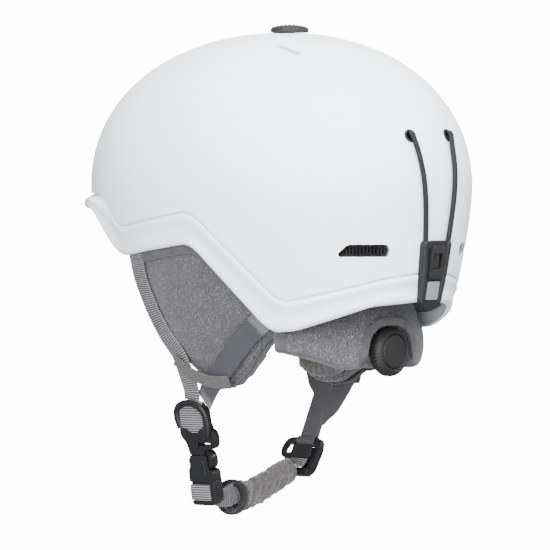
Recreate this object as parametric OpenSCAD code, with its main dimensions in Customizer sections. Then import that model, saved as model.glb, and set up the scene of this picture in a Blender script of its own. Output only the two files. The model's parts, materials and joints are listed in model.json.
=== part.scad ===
// Ski helmet with a two-piece hard shell, a foam liner, ear pads, a dial-adjusted nape band,
// a goggle retainer and a chin strap with a side-release buckle.
// The origin is the middle of the head opening, level with the widest part of the shell.
// +Z is up, the wearer looks along -Y, and the wearer's left is +X.

/* [Shell] */
// Half of the shell's width
shell_w = 106; // [100:1:110]
// Reach of the shell in front of the origin
shell_front = 141; // [136:1:145]
// Reach of the shell behind the origin
shell_back = 132; // [128:1:135]
// Height of the crown above the widest level
crown_z = 100; // [96:1:104]
// Fullness of the dome, where 2 is a plain ellipsoid
dome_power = 2.12; // [2:0.02:2.2]
// Wall of both shell pieces
shell_wall = 2.5; // [2:0.1:3]
// Width of the groove between the top shell and the rim
seam_gap = 1.2; // [0.6:0.2:2]
// How far the brim stands out over the forehead
brim_reach = 5; // [3:0.5:7]

/* [Liner] */
// Depth of the liner's inner face below the shell at the crown
foam_top = 22; // [20:1:26]
// Air space between the shell and the foam at the crown, where the vent shutter slides
air_gap = 8; // [7:1:9]
// Foam thickness at the sides
foam_side = 18; // [15:1:20]
// Foam thickness at the front and the back
foam_end = 27; // [22:1:30]
// Thickness of the comfort pads
pad_t = 6; // [4:1:8]

/* [Crown vents] */
// Diameter of the slider's button
button_d = 26; // [24:1:28]
// Travel of the slider from closed to open
slider_travel = 10; // [6:1:10]
// Length of a crown vent
crown_vent_l = 24; // [18:1:28]
// Width of a crown vent
crown_vent_w = 8; // [6:1:9]

/* [Ear pads] */
// Thickness of the outer ear pad
ear_t = 13; // [10:1:14]
// Thickness of the fleece lining behind it
ear_lining_t = 6; // [4:1:7]

/* [Straps] */
// Width of the webbing
web_w = 15; // [14:1:16]
// Thickness of the webbing
web_t = 1.6; // [1.2:0.2:2]
// Width of the buckle
buckle_w = 25; // [24:1:27]
// Thickness of the buckle
buckle_t = 8; // [8:0.5:9]

/* [Fit dial] */
// Diameter of the dial
dial_d = 32; // [30:1:34]
// Thickness of the dial
dial_t = 9; // [8:1:10]

/* [Retainer] */
// Diameter of the elastic cord
elastic_d = 3.6; // [3:0.2:4]
// Distance from the middle to each eyelet
eyelet_x = 18; // [16:1:20]

/* [Hidden] */
$fn = 48;

// Angles of the shell's columns, from the wearer's left towards the back
step_a = 5;
angles = [for (a = [0:step_a:355]) a];
// Seam between the top shell and the rim: angle from the side, negative in front, and height
seam_keys = [[-90, -5], [-35, -5], [-26, -26], [5, -14], [32, -73], [70, -57], [90, -53]];
// Lower edge of the rim
edge_keys = [[-90, -12], [-40, -15], [-29, -45], [3, -35], [27, -92], [36, -91], [65, -75], [90, -72]];
// Depth below the widest level at which the narrowing shares are reached
narrow_depth = 95;
side_share = 0.22;
back_share = 0.115;
front_share = 0.02;
// Gap that keeps separate pieces from touching
clear = 0.3;

function unit(v) = v / norm(v);
function side_angle(a) = asin(sin(a));
function softened(a, keys) = (lookup(a - 3, keys) + lookup(a - 1.5, keys) + lookup(a, keys)
    + lookup(a + 1.5, keys) + lookup(a + 3, keys)) / 5;
function seam_z(a) = softened(side_angle(a), seam_keys);
function edge_z(a) = softened(side_angle(a), edge_keys);
function dome(z, top) = z <= 0 ? 1 : pow(1 - pow(min(1, z / top), dome_power), 1 / dome_power);
function narrowing(z, share) = z >= 0 ? 1 : 1 - share * pow(-z / narrow_depth, 1.5);
// Half width and reach of the outer skin at height z, for the angle a
function skin_x(z) = shell_w * narrowing(z, side_share);
function skin_y(a, z) = sin(a) > 0 ? shell_back * narrowing(z, back_share)
    : shell_front * narrowing(z, front_share);
// A point inside the outer skin by inset, at angle a and height z
function skin(a, z, inset) = let (k = dome(z, crown_z - inset))
    [(skin_x(z) - inset) * k * cos(a), (skin_y(a, z) - inset) * k * sin(a), z];
// A point on the liner's inner face, moved inward by inset
function lining(a, z, inset) = let (top = crown_z - shell_wall - foam_top - inset, k = dome(z, top))
    [(skin_x(z) - shell_wall - foam_side - inset) * k * cos(a),
    (skin_y(a, z) - shell_wall - foam_end - inset) * k * sin(a), z];
// Height of the dome's skin over a point near the crown
function skin_top(x, y, inset) = let (
    l = (y > 0 ? shell_back : shell_front) - inset,
    r = norm([x / (shell_w - inset), y / l]))
    (crown_z - inset) * pow(1 - pow(r, dome_power), 1 / dome_power);
// Where the back of the shell lies at x and z, moved outward by out
function back_y(x, z, out) = let (k = dome(z, crown_z + out))
    (skin_y(90, z) + out) * k * sqrt(1 - pow(x / ((skin_x(z) + out) * k), 2));

function total(values) = values * [for (v = values) 1];
// Six times the volume inside the faces, negative when they face inward
function facing(pts, faces) = total([for (f = faces, k = [1:len(f) - 2])
    pts[f[0]] * cross(pts[f[k]], pts[f[k + 1]])]);
function reversed(list) = [for (i = [len(list) - 1:-1:0]) list[i]];
// A closed solid whose faces all turn outward; the faces are listed clockwise from outside
module solid(pts, faces) {
    polyhedron(pts, facing(pts, faces) < 0 ? faces : [for (f = faces) reversed(f)]);
}

// Joins sections, each a ring of points in the same order, into one closed solid
module swept(sections, closed = false) {
    n = len(sections);
    m = len(sections[0]);
    spans = closed ? n : n - 1;
    sides = [for (i = [0:spans - 1], j = [0:m - 1])
        let (i2 = (i + 1) % n, j2 = (j + 1) % m, p = i * m + j, q = i * m + j2,
            r = i2 * m + j2, s = i2 * m + j)
        each [[p, q, r], [p, r, s]]];
    caps = closed ? [] : [[for (j = [m - 1:-1:0]) j], [for (j = [0:m - 1]) (n - 1) * m + j]];
    solid([for (s = sections) each s], concat(sides, caps));
}

// Rows of one face of a dome, from its lower edge to just under its top
low_rows = 3;
dome_rows = 9;
function dome_row_z(i, bottom, top) = i < low_rows ? bottom * (1 - i / low_rows)
    : top * sin(90 * (i - low_rows) / dome_rows);

// A closed bowl between an outer and an inner face, each given as rows of points
module bowl(outer, inner, outer_top, inner_top) {
    n = len(angles);
    rows = len(outer);
    pts = concat([for (r = outer) each r], [[0, 0, outer_top]],
        [for (r = inner) each r], [[0, 0, inner_top]]);
    half = rows * n + 1;
    outer_faces = [for (i = [0:rows - 2], j = [0:n - 1]) let (j2 = (j + 1) % n)
        each [[i * n + j, (i + 1) * n + j, (i + 1) * n + j2], [i * n + j, (i + 1) * n + j2, i * n + j2]]];
    outer_cap = [for (j = [0:n - 1]) [(rows - 1) * n + j, rows * n, (rows - 1) * n + (j + 1) % n]];
    inner_faces = [for (f = concat(outer_faces, outer_cap)) [f[2] + half, f[1] + half, f[0] + half]];
    edge = [for (j = [0:n - 1]) let (j2 = (j + 1) % n) each [[j, j2, half + j2], [j, half + j2, half + j]]];
    solid(pts, concat(outer_faces, outer_cap, inner_faces, edge));
}

module slot_2d(length, width) {
    square([length - width, width], center = true);
    for (s = [-1, 1]) translate([s * (length - width) / 2, 0]) circle(d = width);
}

// Crown vents and slider
crown_vent_at = [38, 37];
crown_vent_turn = 8;
button_y = 4;
stem_w = 6;
slot_l = stem_w + slider_travel + 3;
slot_y = button_y - slider_travel / 2;
// Rear side vents, at an angle behind the left side
rear_vent_a = 61;
rear_vent_z = -39;
rear_vent_l = 33;
rear_vent_h = 8;
// Eyelets of the goggle retainer
eyelet_z = 34;
eyelet_d = 9;
eyelet_bore = 5.6;
// Rise of the shell's outward direction there, and its turn away from the middle
eyelet_slope = 22;
eyelet_turn = 12;

module crown_vent_cuts(grow = 0) {
    for (s = [-1, 1])
        translate([s * crown_vent_at[0], crown_vent_at[1], 40]) rotate(90 - s * crown_vent_turn)
            linear_extrude(80) slot_2d(crown_vent_l + grow, crown_vent_w + grow);
}

// Places children on the shell at a rear side vent, with X outward
module at_rear_vent(side) {
    p = skin(rear_vent_a, rear_vent_z, 0);
    heading = atan2(p[1] / pow(skin_y(90, rear_vent_z), 2), p[0] / pow(skin_x(rear_vent_z), 2));
    mirror([side < 0 ? 1 : 0, 0, 0]) translate(p) rotate([0, 0, heading]) children();
}

// Outline of a rear side vent, seen from outside, with its front end slanted
module rear_vent_2d(grow = 0) {
    l = rear_vent_l / 2 + grow;
    h = rear_vent_h / 2 + grow;
    polygon([[l - 2, h], [l, h - 2], [l, -h + 3], [l - 1, -h], [-l, -h], [-l - 1, -h + 2],
        [-l + 4, h - 1], [-l + 6, h]]);
}

module rear_vent_cut(side, depth, grow = 0) {
    at_rear_vent(side) rotate([90, 0, 90]) translate([0, 0, -depth]) linear_extrude(depth + 12)
        rear_vent_2d(grow);
}

// Places children at an eyelet, with Z along the shell's outward slope
module at_eyelet(side) {
    translate([side * eyelet_x, back_y(eyelet_x, eyelet_z, 0), eyelet_z])
        rotate([-90 + eyelet_slope, 0, -side * eyelet_turn]) children();
}

module top_shell() {
    outer = [for (i = [0:low_rows + dome_rows - 1]) [for (a = angles)
        skin(a, dome_row_z(i, seam_z(a) + seam_gap / 2, crown_z), 0)]];
    inner = [for (i = [0:low_rows + dome_rows - 1]) [for (a = angles)
        skin(a, dome_row_z(i, seam_z(a) + seam_gap / 2, crown_z - shell_wall), shell_wall)]];
    color("whitesmoke") difference() {
        bowl(outer, inner, crown_z, crown_z - shell_wall);
        crown_vent_cuts();
        translate([0, slot_y, 80]) rotate(90) linear_extrude(40) slot_2d(slot_l, stem_w + 1);
        for (s = [-1, 1]) {
            rear_vent_cut(s, 12);
            at_eyelet(s) translate([0, 0, -8]) cylinder(d = eyelet_bore + 2 * clear + 1, h = 16);
        }
    }
}

// How far the rim stands out at angle a: a brim over the forehead that fades at the temples
function brim(a) = let (t = min(1, max(0, (-side_angle(a) - 27) / 16)))
    brim_reach * t * t * (3 - 2 * t);
function rim_section(a) = let (top = seam_z(a) - seam_gap / 2, low = edge_z(a), out = brim(a))
    [skin(a, top, shell_wall), skin(a, top, 0), skin(a, top - 0.4 * (top - low), -out),
    skin(a, low + 2.5, -out), skin(a, low + 0.6, 1.5 - out), skin(a, low, 4 - out),
    skin(a, low + 1.5, 3.8), skin(a, low + 2.5, shell_wall)];

module lower_rim() {
    color("whitesmoke") swept([for (a = angles) rim_section(a)], closed = true);
}

liner_lift = 10;
liner_gap = 0.35;

module foam_liner() {
    gap = shell_wall + liner_gap;
    outer_top = crown_z - shell_wall - air_gap;
    outer = [for (i = [0:low_rows + dome_rows - 1]) [for (a = angles)
        let (z = dome_row_z(i, edge_z(a) + liner_lift, outer_top), k = dome(z, outer_top))
        [(skin_x(z) - gap) * k * cos(a), (skin_y(a, z) - gap) * k * sin(a), z]]];
    inner_top = crown_z - shell_wall - foam_top;
    inner = [for (i = [0:low_rows + dome_rows - 1]) [for (a = angles)
        lining(a, dome_row_z(i, edge_z(a) + liner_lift, inner_top), 0)]];
    color("dimgray") difference() {
        bowl(outer, inner, outer_top, inner_top);
        crown_vent_cuts(-1);
        for (s = [-1, 1]) {
            rear_vent_cut(s, 40, -0.5);
            at_eyelet(s) translate([0, 0, -12]) cylinder(d = 11, h = 20);
        }
    }
}

// The shutter is a sheet that follows the dome under the shell: a neck from the button and a
// cross strip that closes both crown vents
shutter_inset = shell_wall + 1.7;
shutter_t = 1.4;
strip_x = 46;
strip_y0 = 23;
strip_y1 = 53;
neck_x = 9;
neck_y0 = -3;

// The sheet bends along and across by separate curves, which keeps its facets flat
function sheet_z(x, y) = skin_top(0, y, shutter_inset) + skin_top(x, crown_vent_at[1], shutter_inset)
    - skin_top(0, crown_vent_at[1], shutter_inset);
// A section of that sheet across the head, reaching half to each side
function sheet_section(y, half) = let (xs = [for (i = [-3:3]) half * i / 3])
    concat([for (x = xs) [x, y, sheet_z(x, y)]],
    [for (x = reversed(xs)) [x, y, sheet_z(x, y) - shutter_t]]);

module vent_shutter() {
    neck = [for (i = [0:2]) sheet_section(neck_y0 + (strip_y0 - neck_y0) * i / 2, neck_x)];
    strip = [for (i = [0:3]) sheet_section(strip_y0 + 0.5 + (strip_y1 - strip_y0) * i / 3, strip_x)];
    color("black") difference() {
        swept(concat(neck, strip));
        translate([0, button_y, 80]) cylinder(d = 3, h = 20);
    }
}

module slider_button() {
    base_z = skin_top(0, button_y, 0) + 0.6;
    stem_z = sheet_z(0, button_y - 2.75) + 0.05;
    color("dimgray") difference() {
        union() {
            translate([0, button_y, base_z]) rotate_extrude($fn = 64) polygon([[0, 0], [button_d / 2 - 1, 0],
                [button_d / 2, 0.8], [button_d / 2 - 0.6, 2], [button_d / 2 - 4, 3.6], [4, 4.4], [0, 4.4]]);
            for (i = [-3:3]) translate([0, button_y + 3 * i, base_z + 1]) rotate([90, 0, 0])
                linear_extrude(1.2, center = true) polygon([[-11 + abs(i), 0], [11 - abs(i), 0],
                    [8 - abs(i), 3.9 - 0.12 * i * i], [-8 + abs(i), 3.9 - 0.12 * i * i]]);
            translate([-2.75, button_y - 2.75, stem_z]) cube([5.5, 5.5, base_z + 0.5 - stem_z]);
        }
        translate([0, button_y, base_z - 6]) cylinder(d = 2, h = 8);
    }
}

module slider_screw() {
    head_z = skin_top(0, button_y, shutter_inset) - shutter_t;
    color("silver") {
        translate([0, button_y, head_z - 1.75]) cylinder(d = 5, h = 1.5);
        translate([0, button_y, head_z - 0.3]) cylinder(d = 1.9, h = 7);
    }
}

// A comfort pad on the liner's inner face between two angles
module lining_pad(a0, a1, z0, z1, steps) {
    swept([for (i = [0:steps]) let (a = a0 + (a1 - a0) * i / steps)
        [lining(a, z0 + 3, 0.4), lining(a, (z0 + z1) / 2, 0.4), lining(a, z1 - 3, 0.4),
        lining(a, z1, pad_t / 2), lining(a, z1 - 3, pad_t), lining(a, (z0 + z1) / 2, pad_t + 1),
        lining(a, z0 + 3, pad_t), lining(a, z0, pad_t / 2)]]);
}

module brow_pad() {
    color("gray") lining_pad(-140, -40, 0, 32, 14);
}

module side_pad(side) {
    mirror([side < 0 ? 1 : 0, 0, 0]) color("gray") lining_pad(-32, 42, 4, 34, 9);
}

module crown_pad() {
    top = crown_z - shell_wall - foam_top;
    color("gray") intersection() {
        translate([0, 0, top - 30]) linear_extrude(40) union() {
            square([34, 120], center = true);
            square([100, 30], center = true);
        }
        crown_lens();
    }
}

// A thin lens that follows the liner's inner face near the crown
module crown_lens() {
    top = crown_z - shell_wall - foam_top - 0.4;
    rows = [for (z = [top * sin(55):6:top - 1]) z];
    outer = [for (z = rows) [for (a = angles) lining(a, z, 0.4)]];
    inner = [for (z = rows) [for (a = angles) lining(a, z - pad_t + 1, pad_t)]];
    bowl(outer, inner, top, top - pad_t);
}

// Mesh insert of a rear side vent: a plate behind the opening with a row of slats
module vent_mesh(side) {
    color("black") at_rear_vent(side) rotate([90, 0, 90]) difference() {
        translate([0, 0, -9]) linear_extrude(2.6) rear_vent_2d(-0.8);
        for (i = [-6:6]) translate([2.3 * i - 0.5, 0, -10]) linear_extrude(5)
            square([1.2, 4.6], center = true);
    }
}

// Ear pads: the outer face leans inward on the way down and curves in towards both ends
ear_top_x = 91;
ear_top_z = -45;
ear_lean = 0.41;
ear_curve = 400;
ear_low_keys = [[-59, -58], [-56, -70], [-48, -95], [-38, -110], [-24, -123], [-8, -131], [8, -130],
    [24, -118], [38, -104], [55, -91]];
ear_front_y = -58;
ear_rear_y = 54;
ear_steps = 12;
// How far the pads' tops reach up behind the rim, short of the liner
ear_tuck = 3;
function ear_x(y, z) = ear_top_x + (z - ear_top_z) * ear_lean - y * y / ear_curve;
function ear_high(y) = edge_z(asin(y / (shell_back * 0.96 - max(0, y) / 2))) + ear_tuck;
// Section of a pad across Y, between depths d0 and d1 behind the outer face
function ear_section(y, d0, d1, trim) = let (
    high = ear_high(y) - trim, low = lookup(y, ear_low_keys) + trim, mid = (high + low) / 2,
    r = min(4, (high - low) / 4), inner_cut = (d1 - d0) / 3, bow = d0 > ear_t ? 0 : 0.5)
    [[ear_x(y, high) - d0 - inner_cut, y, high], [ear_x(y, high - r) - d0, y, high - r],
    [ear_x(y, mid) - d0 + bow, y, mid], [ear_x(y, low + r) - d0, y, low + r],
    [ear_x(y, low) - d0 - inner_cut, y, low], [ear_x(y, low) - d1 + inner_cut, y, low],
    [ear_x(y, low + r) - d1, y, low + r], [ear_x(y, mid) - d1, y, mid],
    [ear_x(y, high - r) - d1, y, high - r], [ear_x(y, high) - d1 + inner_cut, y, high]];

module ear_pad(side) {
    mirror([side < 0 ? 1 : 0, 0, 0]) color("darkgray")
        swept([for (i = [0:ear_steps]) let (end = i == 0 || i == ear_steps ? 3 : 0,
            y = ear_front_y + (ear_rear_y - ear_front_y) * i / ear_steps)
            ear_section(y, end, ear_t - end, 0)]);
}

module ear_lining(side) {
    mirror([side < 0 ? 1 : 0, 0, 0]) color("gray")
        swept([for (y = [-45:10:45]) ear_section(y, ear_t + 0.8, ear_t + 0.8 + ear_lining_t, 6)]);
}

// Direction of a route at its point i
function along(route, i) = unit(route[min(i + 1, len(route) - 1)] - route[max(i - 1, 0)]);

// Flat webbing along a route, with a width direction at each point
module webbing(route, across, width = web_w, thick = web_t) {
    swept([for (i = [0:len(route) - 1]) let (
        t = along(route, i),
        u = unit(across[i] - (across[i] * t) * t) * width / 2,
        v = cross(t, unit(u)) * thick / 2)
        [route[i] + u + v, route[i] - u + v, route[i] - u - v, route[i] + u - v]]);
}

// Strap routes on the wearer's left, from under the rim to the buckle's loop. A strap lies on the
// ear pad where its X is 0, and hangs free at the given X elsewhere.
front_route = [[0, -52.5, -40.5], [0, -53, -47], [0, -53, -57], [0, -52, -68], [0, -48.5, -82],
    [0, -43, -95], [0, -34.5, -108.5], [61, -30.5, -122], [58.2, -29, -131.5], [57.2, -29.5, -137.6]];
rear_route = [[0, 47.5, -82], [0, 42, -86.5], [0, 30, -95], [0, 17, -105.5], [0, 3, -117],
    [0, -8, -125], [57.4, -15.5, -132.5], [54.9, -20.5, -138]];
// Gap between a strap's middle and the pad, on the pad and tucked under the rim
strap_proud = 2.2;
strap_tucked = 1;
tucked_z = -48;
function lifted(route) = [for (p = route)
    [max(p[0], ear_x(p[1], p[2]) + (p[2] > tucked_z ? strap_tucked : strap_proud)), p[1], p[2]]];
// The way the straps face: square to the pad, and turning to straight out below it
function strap_normal(p) = let (near = min(1, max(0, (p[2] + 140) / 30)))
    [1, 2 * p[1] / ear_curve, -ear_lean * near];

module strap(side, route) {
    path = lifted(route);
    mirror([side < 0 ? 1 : 0, 0, 0]) color("gray")
        webbing(path, [for (i = [0:len(path) - 1]) cross(along(path, i), strap_normal(path[i]))]);
}

// Bars that the straps' upper ends are sewn round, between the liner and the ear pads
module strap_anchors() {
    for (s = [-1, 1], route = [lifted(front_route), lifted(rear_route)])
        mirror([s < 0 ? 1 : 0, 0, 0]) color("black") {
            top = route[0];
            t = along(route, 0);
            u = unit(cross(t, strap_normal(top)));
            webbing([top - 0.5 * t, top - 2.3 * t], [u, u], width = web_w + 1, thick = 2.4);
        }
}

// Elastic band across the lower part of each ear pad, which holds the straps to it: Y and Z
keeper_w = 9;
keeper_route = [[-36, -111.5], [-27, -118], [-14, -123.5], [-2, -125.5], [9, -125]];

module keeper_band(side) {
    lift = strap_proud + web_t + 2.1;
    route = [for (p = keeper_route) [ear_x(p[0], p[1]) + lift, p[0], p[1]]];
    mirror([side < 0 ? 1 : 0, 0, 0]) color("gray")
        webbing(route, [for (p = route) [0.38, -0.3, 1]], width = keeper_w, thick = 1.2);
}

// Nape band: arcs about a point ahead of the neck, with heights that vary with the angle from the back
nape_y = -12;
nape_r = 97;
nape_pad_t = 12.6;
cradle_t = 2.4;
nape_low_keys = [[0, -117], [20, -116], [34, -110], [44, -107]];
nape_high_keys = [[0, -66], [20, -70], [34, -86], [44, -92]];
dial_z = -105;
dial_y = 87;
housing_y0 = 73.2;
housing_half = 16.5;
rack_y0 = 73.6;
rack_t = 2.2;
pinion_teeth = 10;
pitch_r = pinion_teeth / 2;
rack_h = 4;
rack_l = 38;

function nape_point(a, r, z) = [r * sin(a), nape_y + r * cos(a), z];
function nape_section(a, r0, r1, low, high, soft) = [
    nape_point(a, r0 + soft, low), nape_point(a, r1 - soft, low), nape_point(a, r1, low + soft),
    nape_point(a, r1 + soft / 3, (low + high) / 2), nape_point(a, r1, high - soft),
    nape_point(a, r1 - soft, high), nape_point(a, r0 + soft, high), nape_point(a, r0, high - soft),
    nape_point(a, r0, low + soft)];

module nape_cradle() {
    r0 = nape_r - nape_pad_t - cradle_t;
    color("black") swept([for (a = [-40:5:40]) nape_section(a, r0, r0 + cradle_t - clear,
        lookup(abs(a), nape_low_keys) + 5, lookup(abs(a), nape_high_keys) - 4, 0.5)]);
}

// Straps of thin plastic that hold the cradle to the liner, drawn as radius and height
module nape_hangers() {
    r = nape_r - nape_pad_t - cradle_t - clear;
    t = 1.5;
    color("black") for (a = [-16, 16]) translate([0, nape_y, 0]) rotate(-a) rotate([90, 0, 90])
        linear_extrude(10, center = true) polygon([[r, -88], [r, -64], [104, -48], [107.4, -30],
            [107.4 - t, -30], [104 - t, -47.4], [r - t, -63], [r - t, -88]]);
}

module nape_pad(side) {
    mirror([side < 0 ? 1 : 0, 0, 0]) color("gray") difference() {
        swept([for (i = [0:8]) let (a = 11.5 + 4 * i, end = i == 8 ? 2.5 : 0)
            nape_section(a, nape_r - nape_pad_t + end, nape_r - end,
                lookup(a, nape_low_keys) + end, lookup(a, nape_high_keys) - end, 3)]);
        translate([10, rack_y0 - 0.6, dial_z - pitch_r - rack_h - 1.5])
            cube([25, rack_t + 1.2, 2 * (pitch_r + rack_h + 1.5)]);
    }
}

module along_dial(y) {
    translate([0, y, dial_z]) rotate([-90, 0, 0]) children();
}

module dial_housing() {
    cavity_h = 2 * (pitch_r + rack_h + 0.8);
    color("dimgray") difference() {
        along_dial(housing_y0) linear_extrude(dial_y - 0.6 - housing_y0)
            intersection() {
                square(2 * housing_half, center = true);
                circle(r = housing_half + 3.5);
            }
        translate([-housing_half - 1, housing_y0 - 1, dial_z - cavity_h / 2])
            cube([2 * housing_half + 2, 1 + rack_t + 1.2, cavity_h]);
        along_dial(housing_y0) cylinder(d = 6.3, h = 20);
    }
}

module dial_back_plate() {
    color("dimgray") difference() {
        along_dial(housing_y0 - 0.9) linear_extrude(0.9) intersection() {
            square(2 * housing_half, center = true);
            circle(r = housing_half + 3.5);
        }
        along_dial(housing_y0 - 2) cylinder(d = 6.6, h = 4);
    }
}

module fit_dial() {
    color("dimgray") difference() {
        along_dial(dial_y) union() {
            rotate_extrude($fn = 96) polygon([[0, 0], [dial_d / 2 - 2.2, 0], [dial_d / 2 - 1.2, 1],
                [dial_d / 2 - 1.2, dial_t - 2.6], [dial_d / 2 - 2.6, dial_t - 1], [dial_d / 2 - 4.6, dial_t],
                [dial_d / 2 - 5.4, dial_t - 0.8], [0, dial_t - 0.8]]);
            for (i = [0:23]) rotate(15 * i) translate([dial_d / 2 - 1.4, 0, 1])
                cylinder(d = 2.4, h = dial_t - 3.8, $fn = 16);
        }
        along_dial(dial_y - 1) cylinder(d = 6.1, h = 6);
    }
}

module dial_pinion() {
    tooth_tip = pitch_r + 0.5;
    root_r = pitch_r - 0.9;
    color("silver") difference() {
        union() {
            along_dial(rack_y0) linear_extrude(rack_t) union() {
                circle(r = root_r);
                for (i = [0:pinion_teeth - 1]) rotate(90 + i * 360 / pinion_teeth)
                    polygon([[root_r - 0.6, -0.8], [tooth_tip, -0.4], [tooth_tip, 0.4], [root_r - 0.6, 0.8]]);
            }
            along_dial(rack_y0 + rack_t) cylinder(d = 6, h = dial_y + 4.5 - rack_y0 - rack_t);
        }
        along_dial(rack_y0 - 1) cylinder(d = 2.5, h = 12);
    }
}

module dial_screw() {
    color("silver") {
        along_dial(rack_y0 - 1.3) cylinder(d = 5, h = 1.2);
        along_dial(rack_y0 - 0.2) cylinder(d = 2.4, h = 10);
    }
}

// A rack beside the pinion: side 1 lies above it and reaches to the left, -1 below and to the right
module rack(side) {
    pitch = PI;
    color("dimgray") translate([0, rack_y0 + rack_t, dial_z]) rotate([90, 0, 0])
        rotate(side > 0 ? 0 : 180) linear_extrude(rack_t) union() {
            translate([-7 * pitch / 2, pitch_r + 0.8]) square([rack_l, rack_h - 0.8]);
            for (i = [-3:4]) translate([(i - 0.5) * pitch, pitch_r + 0.9])
                polygon([[-0.75, 0], [-0.4, -1.3], [0.4, -1.3], [0.75, 0]]);
        }
}

// Goggle retainer: two elastic cords from the eyelets to a clip on the back of the rim
// The cords' round ends sit just outside the eyelets
cord_end_out = 2.9;
cord_end = [eyelet_x + cord_end_out * cos(eyelet_slope) * sin(eyelet_turn),
    back_y(eyelet_x, eyelet_z, 0) + cord_end_out * cos(eyelet_slope) * cos(eyelet_turn),
    eyelet_z + cord_end_out * sin(eyelet_slope)];
clip_top_z = -33;
clip_low_z = -76;
clip_top_w = 28;
clip_low_w = 19;
clip_t = 3.4;
clip_gap = 0.5;
elastic_zs = [26, 16, 6, -4, -14, -24, -32.6];
function elastic_x(z) = 11 + 7 * (z - clip_top_z) / (cord_end[2] - clip_top_z);
elastic_route = concat([cord_end],
    [for (z = elastic_zs) [elastic_x(z), back_y(elastic_x(z), z, 0) + elastic_d / 2 + 0.7, z]]);

module round_cord(route, d, sides = 8) {
    n = len(route);
    swept([for (i = [0:n - 1]) let (
        t = along(route, i), u = unit(cross(t, [1, 0.1, 0])), v = cross(t, u))
        [for (s = [0:sides - 1]) route[i] + (u * cos(s * 360 / sides) - v * sin(s * 360 / sides)) * d / 2]]);
}

module elastic(side) {
    mirror([side < 0 ? 1 : 0, 0, 0]) color("darkslategray") {
        round_cord(elastic_route, elastic_d);
        translate(elastic_route[0]) sphere(d = elastic_d, $fn = 24);
    }
}

module eyelet(side) {
    color("darkslategray") at_eyelet(side) rotate_extrude(convexity = 4) polygon([
        [eyelet_bore / 2, -4.5], [5, -4.5], [5, -3.6], [3.5, -3.6], [3.5, 0.2], [eyelet_d / 2, 0.2],
        [eyelet_d / 2, 0.5], [eyelet_d / 2 - 0.5, 0.8], [eyelet_bore / 2, 0.8]]);
}

function clip_w(z) = clip_low_w + (clip_top_w - clip_low_w) * (z - clip_low_z) / (clip_top_z - clip_low_z);
function clip_section(z, out0, out1, w) = [
    [-w / 2, back_y(w / 2, z, 0) + out0, z], [-w / 2, back_y(w / 2, z, 0) + out1 - 0.8, z],
    [-w / 2 + 1.2, back_y(w / 2, z, 0) + out1, z], [0, back_y(0, z, 0) + out1, z],
    [w / 2 - 1.2, back_y(w / 2, z, 0) + out1, z], [w / 2, back_y(w / 2, z, 0) + out1 - 0.8, z],
    [w / 2, back_y(w / 2, z, 0) + out0, z], [0, back_y(0, z, 0) + out0, z]];

module retainer_clip() {
    color("dimgray") difference() {
        swept([for (i = [0:10]) let (z = clip_top_z + (clip_low_z - clip_top_z) * i / 10)
            clip_section(z, clip_gap, clip_gap + clip_t, clip_w(z) - (i == 10 ? 4 : 0))]);
        translate([-5.5, shell_back - 12, -51]) cube([11, 20, 11]);
    }
}

module retainer_tongue() {
    color("black") translate([-3, back_y(0, -45, 0) + clip_gap + 1.6, -50.8]) cube([6, 1.6, 10.6]);
}

module retainer_stud() {
    color("black") translate([0, back_y(0, -45, 0) - 1.5, -45.5]) rotate([-90, 0, 0])
        cylinder(d = 7, h = 3.2);
}

module retainer_label() {
    color("lightgray") swept([for (z = [-59:-3:-71]) let (w = 11, o = clip_gap + clip_t)
        [[-w / 2, back_y(0, z, 0) + o, z], [-w / 2, back_y(0, z, 0) + o + 0.6, z],
        [w / 2, back_y(0, z, 0) + o + 0.6, z], [w / 2, back_y(0, z, 0) + o, z]]]);
}

// Chin strap: a side-release buckle on the left, a ring on the right
buckle_at = [49, -30, -172];
buckle_lean = 11;
ring_at = [-52, -30, -168];
ring_lean = -18;
bar_d = 3.4;
loop_bore = bar_d + 2 * clear + 0.2;
buckle_bar_z = 30.5;

module in_buckle() {
    translate(buckle_at) rotate([0, buckle_lean, 0]) children();
}

module in_ring() {
    translate(ring_at) rotate([0, ring_lean, 0]) children();
}

// A plate in the plane of the strap: y and z outline, centred on x
module strap_plate(thick) {
    rotate([90, 0, 90]) linear_extrude(thick, center = true) children();
}

module webbing_loop() {
    rotate([90, 0, 0]) difference() {
        cylinder(d = loop_bore + 2 * web_t, h = web_w, center = true);
        cylinder(d = loop_bore, h = web_w + 1, center = true);
    }
}

module buckle_male() {
    w = buckle_w / 2;
    color("dimgray") in_buckle() {
        strap_plate(buckle_t - 2) polygon([[-w, 19], [-w + 1, 7], [-w + 3, 2.2], [w - 3, 2.2],
            [w - 1, 7], [w, 19], [w - 2, 22], [2 - w, 22]]);
        strap_plate(4) for (s = [-1, 1]) polygon([[s * w, 20], [s * (w - 1), buckle_bar_z + 1.7],
            [s * (w - 3), buckle_bar_z + 1.7], [s * (w - 3), 20]]);
        translate([0, 0, buckle_bar_z]) rotate([90, 0, 0])
            cylinder(d = bar_d, h = buckle_w - 4, center = true);
        strap_plate(3) polygon([[-2.5, 3], [-2.5, -12], [-1.5, -14], [1.5, -14], [2.5, -12], [2.5, 3]]);
    }
}

prong_y = 8.5;

module prong(side) {
    color("dimgray") in_buckle() mirror([0, side < 0 ? 1 : 0, 0]) {
        translate([0, prong_y, 0]) rotate([0, 90, 0]) cylinder(d = 3, h = 3.6, center = true);
        strap_plate(3.6) polygon([[7, 0], [7, -14], [8, -15], [9.4, -12.5], [9.4, -11], [8.8, -9],
            [8.9, -7.5], [11.6, -7], [12.4, -5], [11.8, -2.5], [10, 0]]);
    }
}

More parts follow.
